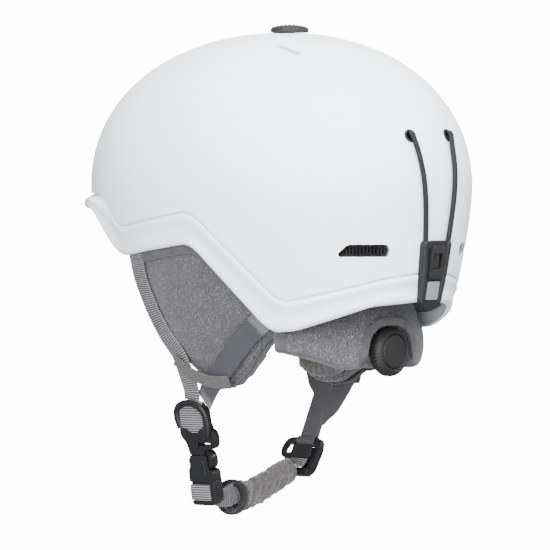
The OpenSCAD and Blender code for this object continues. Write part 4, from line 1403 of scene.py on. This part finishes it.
def make_eyelets():
    profile = [(5, -4.5), (5, -3.6), (3.5, -3.6), (3.5, 0.1), (4.3, 0.15), (4.5, 0.35), (4.45, 0.65),
               (4.15, 0.9), (3.6, 0.98), (3.15, 0.85), (2.85, 0.5), (2.8, 0), (2.8, -2), (2.8, -4.5)]
    for s, side in ((1, "left"), (-1, "right")):
        points, faces = turned_ring(profile, 64, placed(eyelet_matrix(s)))
        mesh_piece("eyelet_" + side, points, faces, "slate", "helmet", ("eyelet_" + side,), 50)


CORD_END_OUT, CORD_D = 2.9, 3.6
CLIP_TOP, CLIP_LOW = -33.0, -76.0


def make_elastics():
    slope, turn = math.radians(EYELET_SLOPE), math.radians(EYELET_TURN)
    out = Vector((math.cos(slope) * math.sin(turn), math.cos(slope) * math.cos(turn), math.sin(slope)))
    hole = Vector((EYELET_X, back_y(EYELET_X, EYELET_Z, 0), EYELET_Z))
    end = hole + out * CORD_END_OUT
    route = [hole + out * 0.1 + Vector((0.2, 0, 1.2)), end]
    for z in (26, 16, 6, -4, -14, -24, -32.6, -37):
        x = 11 + 7 * (z - CLIP_TOP) / (end.z - CLIP_TOP)
        route.append(Vector((x, back_y(x, z, 0) + CORD_D / 2 + 0.7, z)))
    left = tube("elastic_left", spline(route, 0.7), CORD_D - 0.2, "elastic", "retainer", ("elastic_left",),
                18)
    mirrored(left, "elastic_right", ("elastic_right",), "retainer")


def clip_half(z):
    """Half the retainer clip's width at a height"""
    return (19 + 9 * (z - CLIP_LOW) / (CLIP_TOP - CLIP_LOW)) / 2


def sliced(bm, point, across):
    """Cuts a mesh's faces along a plane, a hair to one side so as to miss its points"""
    everything = bm.verts[:] + bm.edges[:] + bm.faces[:]
    bmesh.ops.bisect_plane(bm, geom=everything, plane_co=[x * MM + 1e-5 * n for x, n in zip(point, across)],
                           plane_no=across)


def wrapped_plate(name, outline, holes, low, high, look, replaces, edge=0.5):
    """A plate of the retainer drawn in X and Z, cut by holes, and bent round the back of the shell"""
    def place(u, v, w):
        return u, w, v
    points, faces = prism(outline, low, high, place)
    plate = mesh_piece(name, points, faces, look, "retainer", replaces, 40)
    if holes:
        cut(plate, [prism(hole, start, end, place) for hole, start, end in holes])
    bm = bmesh.new()
    bm.from_mesh(plate.data)
    for x in np.arange(-15, 15.1, 1.5):
        sliced(bm, (x, 0, 0), (1, 0, 0))
    for z in np.arange(CLIP_LOW - 4, CLIP_TOP + 4, 3.0):
        sliced(bm, (0, 0, z), (0, 0, 1))
    bm.to_mesh(plate.data)
    bm.free()
    rounded_edges(plate, edge, 3)
    for vertex in plate.data.vertices:
        x, y, z = vertex.co / MM
        vertex.co.y = (back_y(x, z, 0) + y) * MM
    smooth(plate, 45)
    dress(plate, look, "retainer", replaces)


def tapered(low_half, low, high_half, high, radius, steps=4):
    """A rounded four-sided outline, given by its half width and height at the bottom and at the top"""
    corners = [(-low_half, low), (low_half, low), (high_half, high), (-high_half, high)]
    return filleted(corners, radius, steps)


def make_clip():
    inner, outer = 0.5, 3.7
    half_top, half_waist, half_low = clip_half(CLIP_TOP), clip_half(-48), clip_half(CLIP_LOW)
    outline = filleted([(0.5 - half_top, CLIP_TOP, 3), (half_top - 0.5, CLIP_TOP, 3), (half_waist, -50, 6),
                        (half_low - 0.2, CLIP_LOW + 2.6, 3), (half_low - 3.2, CLIP_LOW, 3),
                        (3.2 - half_low, CLIP_LOW, 3), (0.2 - half_low, CLIP_LOW + 2.6, 3),
                        (-half_waist, -50, 6)], 3, 6)
    holes = [(tapered(4.6, -51, 4.6, -40, 1.4), -2, 8)]
    for s in (1, -1):
        slit = filleted([(s * 6.5, -57), (s * 8.0, -56.6), (s * 9.3, -38), (s * 6.9, -38)], 0.7, 3)
        holes.append((slit, -2, 8))
    holes.append((tapered(5.9, -71.6, 5.9, -58.8, 1.2, 3), outer - 0.35, 8))
    wrapped_plate("retainer_clip", outline, holes, inner, outer, "slate", ("retainer_clip",), 0.55)
    lever = filleted([(-6.2, -57.6), (6.2, -57.6), (6.5, -38.6), (5.2, -36.2), (-5.2, -36.2), (-6.5, -38.6)],
                     1.6, 4)
    window = tapered(4.2, -51.6, 4.4, -41.2, 1.2)
    wrapped_plate("retainer_lever", lever, [(window, -2, 9)], outer - 0.6, outer + 1.3, "lever", ())
    wrapped_plate("retainer_tongue", tapered(2.3, -51.2, 2.0, -41.4, 1.0), [], 2.1, 3.9, "lever",
                  ("retainer_tongue",))
    label = tapered(5.5, -71, 5.5, -59.3, 1.0)
    wrapped_plate("retainer_label", label, [], outer - 0.3, outer + 0.45, "label", ("retainer_label",), 0.2)
    for s, side in ((1, "left"), (-1, "right")):
        path = []
        for t in np.linspace(0, 1, 40):
            x, z = 11.4 - 3.6 * t, CLIP_TOP + 0.4 - 41.4 * t
            path.append(Vector((s * x, back_y(x, z, 0) + 2.7 + 0.4 * math.sin(math.pi * t), z)))
        tube("retainer_sleeve_" + side, path, 4.3, "slate", "retainer", (), 20)


# ---------------------------------------------------------------- chin strap

BUCKLE = Matrix.Translation((49, -30, -172)) @ Matrix.Rotation(math.radians(11), 4, "Y")
RING = Matrix.Translation((-52, -30, -168)) @ Matrix.Rotation(math.radians(-18), 4, "Y")
CHIN_LEFT = [(45.5, -30, -197.2), (40.5, -30, -198.6), (33, -30.5, -200.3), (25, -31.5, -201.5),
             (18, -32.3, -201.0), (13, -33, -199.8), (8.5, -33.2, -199.0), (4.5, -33.3, -198.4)]
CHIN_LEFT_ACROSS = [(0, 1, 0), (0, 1, 0), (0, .8, .6), (0, .45, .9), (0, .1, 1)] + [(0, 0, 1)] * 3
CHIN_RIGHT = [(-40.5, -31.3, -184.9), (-44, -30.8, -183.2), (-46.6, -30.3, -180.4), (-48.4, -30, -177.6)]
CHIN_RIGHT_ACROSS = [(0, .9, .4), (0, 1, 0), (0, 1, 0), (0, 1, 0)]
PAD_ROUTE = [(14.3, -33, -202.2), (7, -33.4, -202.4), (-5, -33.8, -200.0), (-16, -33.6, -196.2),
             (-28, -32.6, -191.0), (-38, -31.6, -186.2), (-43.4, -31, -183.6)]
PAD_H, PAD_T, LOOP_BORE = 20.0, 14.0, 4.2
MOUTH, MOUTH_SLANT = Vector(PAD_ROUTE[0]), 0.62
# where along X each wrinkle of the chin pad lies, and its depth and width
WRINKLES = ((-1.0, 1.3, 1.7), (-8.0, 0.7, 1.2), (-14.5, 1.1, 1.5), (-21.5, 0.8, 1.3), (-27.0, 1.2, 1.5),
            (-35.0, 0.9, 1.4))


def turned_path(route, across, step):
    """A smooth path with the strap's width direction carried along it"""
    path = spline(route, step)
    lengths = run_along([Vector(p) for p in route])
    normals = []
    for i, run in enumerate(run_along(path)):
        width = Vector([float(np.interp(run, lengths, [a[k] for a in across])) for k in range(3)])
        normals.append(heading(path, i).cross(width).normalized())
    return path, normals


def pad_oval(path, i, grow, sides):
    """The chin pad's section at a point of its path"""
    t = heading(path, i)
    u = t.cross(Vector((0, 0, 1))).normalized()
    v = t.cross(u)
    return [path[i] + u * (PAD_T / 2 + grow) * c - v * (PAD_H / 2 + grow) * s for c, s in circle(sides)]


def mouth_ring(along, wide, high, sides=48):
    """An oval in the slanted plane of the chin pad's mouth, a little way along the pad"""
    ring = []
    for c, s in circle(sides):
        y, z = wide * c, high * s
        ring.append(MOUTH + Vector((-along - MOUTH_SLANT * y, y, z + 0.08 * along)))
    return ring


def mouth_band(along, wide, high, r):
    """A rolled band round the mouth"""
    rows = []
    for far, near in zip(mouth_ring(along, wide + r, high + r), mouth_ring(along, wide - r, high - r)):
        middle, arm = (far + near) / 2, (far - near) / 2
        rows.append([middle + arm * c + Vector((2.6 * r, 0, 0)) * s for c, s in circle(12)])
    return raw_piece("part", *loft(rows, closed=True))


def make_chin_pad():
    """A stuffed sleeve with a hollow mouth, wrinkles across it and a tufted surface"""
    path, sides = spline(PAD_ROUTE, 2.2), 30
    n = len(path)
    rows = [mouth_ring(*oval, sides) for oval in ((-0.6, 5.8, 8.6), (-1.3, 7.8, 10.7), (1.2, 8.6, 11.6))]
    closing = {n - 1: 3.6, n - 2: 1.5, n - 3: 0.5}
    for i in range(6, n):
        rows.append(pad_oval(path, i, 0.4 - 0.9 * ease(i / n) - closing.get(i, 0), sides))
    form = bowl(rows, tuple(MOUTH + Vector((-0.6, 0, 0))), tuple(path[-1]))
    pad = padded_piece("chin_pad", form, "fleece", "chin_strap", 1.4, 2.8)
    hollow = ((-6, 7.0, 9.6), (2, 5.6, 8.2), (8, 5.0, 7.4), (13, 3.6, 5.6))
    cut(pad, [loft([mouth_ring(*oval, 40) for oval in hollow])])
    for vertex in pad.data.vertices:
        p = vertex.co / MM
        fold = 0.0
        for at, depth, width in WRINKLES:
            fold -= depth * math.exp(-((p.x - at + 0.45 * (p.z + 196)) / width) ** 2)
        tuft = noise.fractal(Vector(vertex.co * 480), 0.9, 2.0, 3) * 0.55
        vertex.co += vertex.normal * (fold + tuft) * MM
    smooth(pad, 180)


def make_chin_pad_binding():
    """The bound lip of the mouth, a second binding just inside it, and the dark lining behind them"""
    bands = [mouth_band(-0.6, 7.7, 10.8, 1.0), mouth_band(0.6, 5.2, 8.0, 0.8)]
    ovals = ((-0.6, 7.7, 10.8), (3.4, 7.6, 10.5), (8, 5.6, 8.2), (12.6, 3.9, 5.8), (12.0, 0.6, 0.9),
             (11.4, 3.4, 5.0), (7.6, 4.8, 7.2), (2.5, 6.4, 9.4), (-0.5, 7.1, 10.2))
    cup = raw_piece("part", *loft([mouth_ring(*oval) for oval in ovals], closed=True))
    joined("chin_pad_binding", bands + [cup], "binding", "chin_strap", ("chin_pad_binding",), 60)


def sewn_loop(name, matrix, level, replaces, ribs):
    """Webbing sewn round a bar that lies along the strap's width; ribs also sets how much painted rib
    highlight and shade it shows
    """
    side, h = WEB_W / 2, WEB_T / 2
    r = LOOP_BORE / 2 + h
    rows, run, steps = [], [], 80
    for k, (c, s) in enumerate(circle(steps)):
        a = 2 * math.pi * k / steps
        out = Vector((c, 0, s))
        crest = h * (1 + RIB_DEPTH * math.cos(a * round(2 * math.pi * r / RIB_PITCH)))
        section = ((side - .3, -h), (side, 0), (side - .3, crest), (WEB_W / 6, crest), (-WEB_W / 6, crest),
                   (.3 - side, crest), (-side, 0), (.3 - side, -h), (0, -h))
        rows.append([tuple(matrix @ (out * (r + d) + Vector((0, y, level)))) for y, d in section])
        run.append(r * a)
    piece = mesh_piece(name, *loft(rows, closed=True), "webbing", "helmet", replaces, 60)
    lay_uv(piece, len(rows[0]), run, 2 * WEB_W)
    mark_ribs(piece, [ribs] * len(piece.data.vertices))


def make_loops():
    sewn_loop("buckle_loop", BUCKLE, 30.5, ("buckle_loop",), 1.0)
    sewn_loop("ring_loop_eye", RING @ Matrix.Translation((0, 3.6, 0)), 0, (), 0.2)
    route = [(-59.4, -14.8, -126), (-58.3, -17.4, -133.5), (-57.3, -19.8, -141), (-55.4, -23.2, -153),
             (-52.9, -26.4, -166.2)]
    path, normals = turned_path(route, [(0, 1, 0)] * 5, RIB_PITCH / 4)
    webbing("ring_loop", path, normals, WEB_W, 2 * WEB_T, "helmet", ("ring_loop",), lambda d: 0.2)


def make_chin_webbing():
    path, normals = turned_path(CHIN_LEFT, CHIN_LEFT_ACROSS, RIB_PITCH / 4)
    webbing("chin_webbing_left", path, normals, WEB_W, WEB_T, "chin_strap", ("chin_webbing",))
    path, normals = turned_path(CHIN_RIGHT, CHIN_RIGHT_ACROSS, RIB_PITCH / 4)
    webbing("chin_webbing_right", path, normals, WEB_W, WEB_T, "chin_strap", ())


def strap_part(matrix, outline, back, front, radius=0.8, holes=(), edge=0.6):
    """A plate in the plane of the strap: a rounded outline in (y, z) between two levels of x"""
    def place(u, v, w):
        return tuple(matrix @ Vector((w, u, v)))
    part = raw_piece("part", *prism(filleted(outline, radius, 4), back, front, place))
    if holes:
        cut(part, [prism(filleted(hole, 0.8, 3), low, high, place) for hole, low, high in holes])
    return rounded_edges(part, edge, 3, 30)


def strap_bar(matrix, route, width, depth):
    """A bar with an oval section, width across and depth outward, along a curve in the strap's plane"""
    path, rows = spline(route, 0.8), []
    for i, p in enumerate(path):
        t = heading(path, i)
        u = t.cross(Vector((1, 0, 0))).normalized()
        v = u.cross(t)
        rows.append([tuple(matrix @ (p + u * width / 2 * c + v * depth / 2 * s)) for c, s in circle(14)])
    return raw_piece("part", *loft(rows))


def ribbed_panel(matrix, route, width, thick, name, body):
    """Ribbed webbing along a route in the strap's plane, its width running across the strap"""
    path = [matrix @ p for p in spline(route, RIB_PITCH / 6)]
    side = matrix.to_3x3() @ Vector((0, 1, 0))
    normals = [side.cross(heading(path, i)).normalized() for i in range(len(path))]
    return webbing(name, path, normals, width, thick, body)


def make_male():
    slit = [(2.4, 5.3), (2.4, 7.2), (13, 7.2), (13, 5.3)]
    body = [(-12.0, 19, 2), (-12.6, 13.4, 3), (-11.2, 10, 3), (-8, 7, 3), (-7.2, 3.6, 1.5), (-6.4, 0.6, 0.6),
            (6, 0.6, 0.6), (7, 2.4, 0.6), (9, 2.4, 1), (13, 3.4, 2), (14, 6, 2), (13, 10, 3), (12.3, 18, 3),
            (10, 22, 2), (-9.8, 22, 2)]
    crown = [(-10.6, 18.4, 2), (-10.8, 13, 2), (-9.4, 10, 2), (-6.4, 7.6, 2), (-5.2, 3.4, 2), (2.2, 3.4, 1),
             (3, 8, 1), (9.6, 8.6, 1.6), (10.4, 14, 2), (10.2, 19, 1.6), (6.6, 17, 2), (2.6, 13, 1.6),
             (-0.6, 13.6, 2), (-5.4, 17.6, 2)]
    horn = [(10.4, 16.4, 1), (14.8, 16, 2), (17.2, 12.8, 2.4), (17, 6, 2.4), (14.4, 3, 1.6), (11, 3.2, 1.4),
            (9.6, 5, 1), (9.6, 14, 1)]
    neck = [(-6.8, 3.6), (-5.9, -1.0), (6.6, -1.0), (7.2, 3.6)]
    tongue = [(-2.5, 3), (-2.5, -12), (-1.5, -14), (1.5, -14), (2.5, -12), (2.5, 3)]
    arch = [(3.4, -11.0, 17), (4.0, -12.3, 23), (4.3, -11.8, 28.2), (4.5, -8.8, 31.8), (4.5, -3.3, 33.7),
            (4.5, 3, 33.6), (4.5, 8.7, 31.0), (4.4, 12.3, 26.6), (4.2, 13.2, 21), (3.8, 12.6, 15.4),
            (3.0, 10.8, 11)]
    tail = [(0.8, 0, 33.9), (2.6, 0, 33.2), (3.7, 0, 30.5), (3.9, 0, 26), (3.9, 0, 21), (3.5, 0, 16),
            (3.1, 0, 14.2)]
    parts = [strap_part(BUCKLE, body, -3.2, 3.2, edge=0.9, holes=[(slit, -6, 6)]),
             strap_part(BUCKLE, crown, 2.6, 4.5, edge=0.8),
             strap_bar(BUCKLE, arch, 4.6, 3.4),
             strap_bar(BUCKLE, [(0, -11, 30.5), (0, 0, 30.5), (0, 11, 30.5)], 3.2, 3.2),
             strap_part(BUCKLE, horn, -2.2, 2.8, edge=0.7, holes=[(slit, -6, 6)]),
             strap_part(BUCKLE, tongue, -1.5, 1.5, 0.8, edge=0.4)]
    for s in (1, -1):
        cheek = [(s * 12.4, 17), (s * 12, 29), (s * 10, 32.2), (s * 9.0, 31), (s * 9.0, 17)]
        parts.append(strap_part(BUCKLE, cheek, -2, 2.8, 1.2))
    for low in (-3.3, 2.3):
        parts.append(strap_part(BUCKLE, neck, low, low + 1.0, 0.4, edge=0.3))
    joined("buckle_male", parts, "buckle_plastic", "helmet", ("buckle_male",))
    ribbed_panel(BUCKLE, tail, 19.5, 1.5, "buckle_tail", "helmet")


def make_female():
    shell = [(-5.8, -1.2, 1.2), (-6.4, -3.2, 1.5), (-6.9, -9, 2), (-8.4, -11, 1), (-8.7, -18.6, 0.6),
             (12.2, -18.6, 0.6), (12.4, -12.6, 1.5), (11.4, -11, 0.8), (8.8, -10.4, 0.6), (8.6, -2.6, 1.4),
             (7.4, -1.2, 1.4)]
    pocket = [(-5.9, 3), (-5.9, -17.5), (10.6, -17.5), (10.6, 3)]
    window = [(-12, -3.4), (-12, -8.2), (-7.2, -8.2), (-7.2, -3.4)]
    panel = [(-5.2, -4), (-5.6, -16.6), (6.4, -16.6), (6, -4)]
    post = [(8.6, -17.6, 0.6), (8.8, -32.6, 0.6), (11.6, -32.6, 2.4), (12.6, -28, 3), (12.8, -17.6, 0.6)]
    low_bar = [(-9.2, -31.4, 0.8), (-8.2, -34.4, 2.2), (9.6, -34.4, 2.2), (11.2, -31.4, 0.8)]
    slim = [(-9.6, -19.2), (-9.7, -32), (-8.4, -32), (-8.4, -19.2)]
    recess = [(-8.4, -17), (-8.6, -23.4), (12, -23.4), (12, -17)]
    parts = [strap_part(BUCKLE, shell, -4, 4, edge=1.1, holes=[(pocket, -2.2, 2.2), (window, -2.4, 2.4)]),
             strap_part(BUCKLE, panel, 3.4, 4.5, 2.2, edge=0.5),
             strap_part(BUCKLE, post, -4, 4.6, edge=1.0),
             strap_part(BUCKLE, low_bar, -3.4, 3.6, edge=0.9),
             strap_part(BUCKLE, slim, -3.6, 1.0, 0.5, edge=0.4),
             strap_bar(BUCKLE, [(0, -9, -26.8), (0, 0, -26.8), (0, 9, -26.8)], 3.0, 3.0),
             strap_part(BUCKLE, recess, -3.4, 2.6, 0.5, edge=0.4)]
    joined("buckle_female", parts, "buckle_plastic", "chin_strap", ("buckle_female",))
    route = [(4.1, 0, -30.6), (4.3, 0, -27.5), (4.3, 0, -24), (3.7, 0, -20.4)]
    ribbed_panel(BUCKLE, route, 17.0, 1.3, "buckle_female_webbing", "chin_strap")


def make_prongs():
    button = [(10.6, 2.0, 1), (8.0, 2.0, .5), (6.4, 1.6, .4), (6.4, -13.2, .6), (7.3, -14.8, .6),
              (8.5, -12.6, .5), (8.5, -10.2, .4), (10.6, -9.9, 1.2), (12.9, -8.0, 2), (13.6, -4.2, 2.4),
              (12.6, 0.2, 1.6)]
    pad = [(9.4, 0.6, 1), (9.4, -9.2, 1), (12.2, -8.2, 2), (13.2, -4.2, 2.4), (12.2, -0.2, 1.6)]
    front = [(-4.2, 0.8), (-4.2, -13), (-4.9, -14.4), (-5.8, -12), (-5.8, -8.4), (-8.4, -7.6),
             (-9.2, -5.6), (-8.6, -3.6), (-5.9, -3), (-5.8, 0.8)]
    rear = [strap_part(BUCKLE, button, -2.1, 2.1), strap_part(BUCKLE, pad, 1.4, 3.3, edge=0.8)]
    joined("prong_rear", rear, "buckle_gloss", "rear_prong", ("prong_rear",))
    joined("prong_front", [strap_part(BUCKLE, front, -2.0, 2.0, 0.6, edge=0.45)], "buckle_plastic",
           "front_prong", ("prong_front",))


def make_ring():
    """A ladder ring: a frame wider at its rear, a broad middle panel and a wire loop on its front side"""
    frame = [(-9, 2.4, 2), (-13.6, 0.4, 3), (-16.8, -6, 3), (-15.8, -10.6, 3), (-11.6, -12.4, 2),
             (-9, -21.6, 2), (-3, -23.4, 2), (9.4, -23.4, 2.4), (13.8, -20.4, 3), (17.4, -6, 3),
             (16.4, 0.6, 2.4), (12.4, 2.6, 2)]
    openings = [[(-5.2, -4.6), (-5.2, -1.6), (12.2, -1.6), (12.2, -4.6)],
                [(-12.6, -2.2), (-14.6, -6.4), (-13.2, -9.0), (-7.4, -7.8), (-6.8, -1.9)],
                [(-7.4, -18.4), (-8.4, -11.6), (11.0, -11.6), (9.6, -18.4)]]
    grip = [(-8.6, -18.2), (-8, -23.4), (9.8, -23.4), (11.4, -18.2)]
    panel = [(-3.6, -3.3), (-4.4, -12.2), (11.4, -12.2), (12.6, -3.3)]
    back = [(1.4, -11), (0.6, -18.6), (10.2, -18.6), (11.6, -11)]
    parts = [strap_part(RING, frame, -2.1, 2.1, edge=0.9, holes=[(opening, -5, 5) for opening in openings]),
             strap_part(RING, grip, -2.6, 2.8, 1.4, edge=0.8),
             strap_part(RING, panel, 4.0, 5.1, 1.4, edge=0.5),
             strap_part(RING, back, -3.0, -1.8, 0.6, edge=0.4),
             strap_bar(RING, [(0, -10, 0), (0, 2, 0), (0, 14, 0)], 3.4, 3.4)]
    for y in (-4.6, 8.6):
        web = [(y, -4.6), (y, -11), (y + 3.4, -11), (y + 3.4, -4.6)]
        parts.append(strap_part(RING, web, 1.8, 4.4, 0.6, edge=0.4))
    joined("strap_ring", parts, "buckle_plastic", "chin_strap", ("strap_ring",))


# ---------------------------------------------------------------- CAD pieces that keep their shape

KEPT = {
    "slider_screw": "steel", "dial_screw": "steel",
    "vent_shutter": "black_plastic", "strap_anchors": "black_plastic", "nape_cradle": "black_plastic",
    "nape_hangers": "black_plastic", "retainer_stud": "black_plastic",
    "vent_mesh_left": "mesh_black", "vent_mesh_right": "mesh_black",
    "dial_pinion": "acetal", "rack_left": "acetal", "rack_right": "acetal",
}


def finish_kept():
    for name, look in KEPT.items():
        piece = nodes[name]
        while len(piece.material_slots) < 1:
            piece.data.materials.append(None)
        for place in piece.material_slots:
            place.material = LOOKS[look]


add_camera()
add_studio()
add_floor()
make_top_shell()
make_lower_rim()
make_liner()
make_inner_pads()
make_ear_pads()
make_ear_trims()
make_straps()
make_nape_pads()
make_nape_binding()
make_nape_ends()
make_dial()
make_dial_backing()
make_slider_button()
make_eyelets()
make_elastics()
make_clip()
make_chin_pad()
make_chin_pad_binding()
make_loops()
make_chin_webbing()
make_male()
make_female()
make_prongs()
make_ring()
finish_kept()
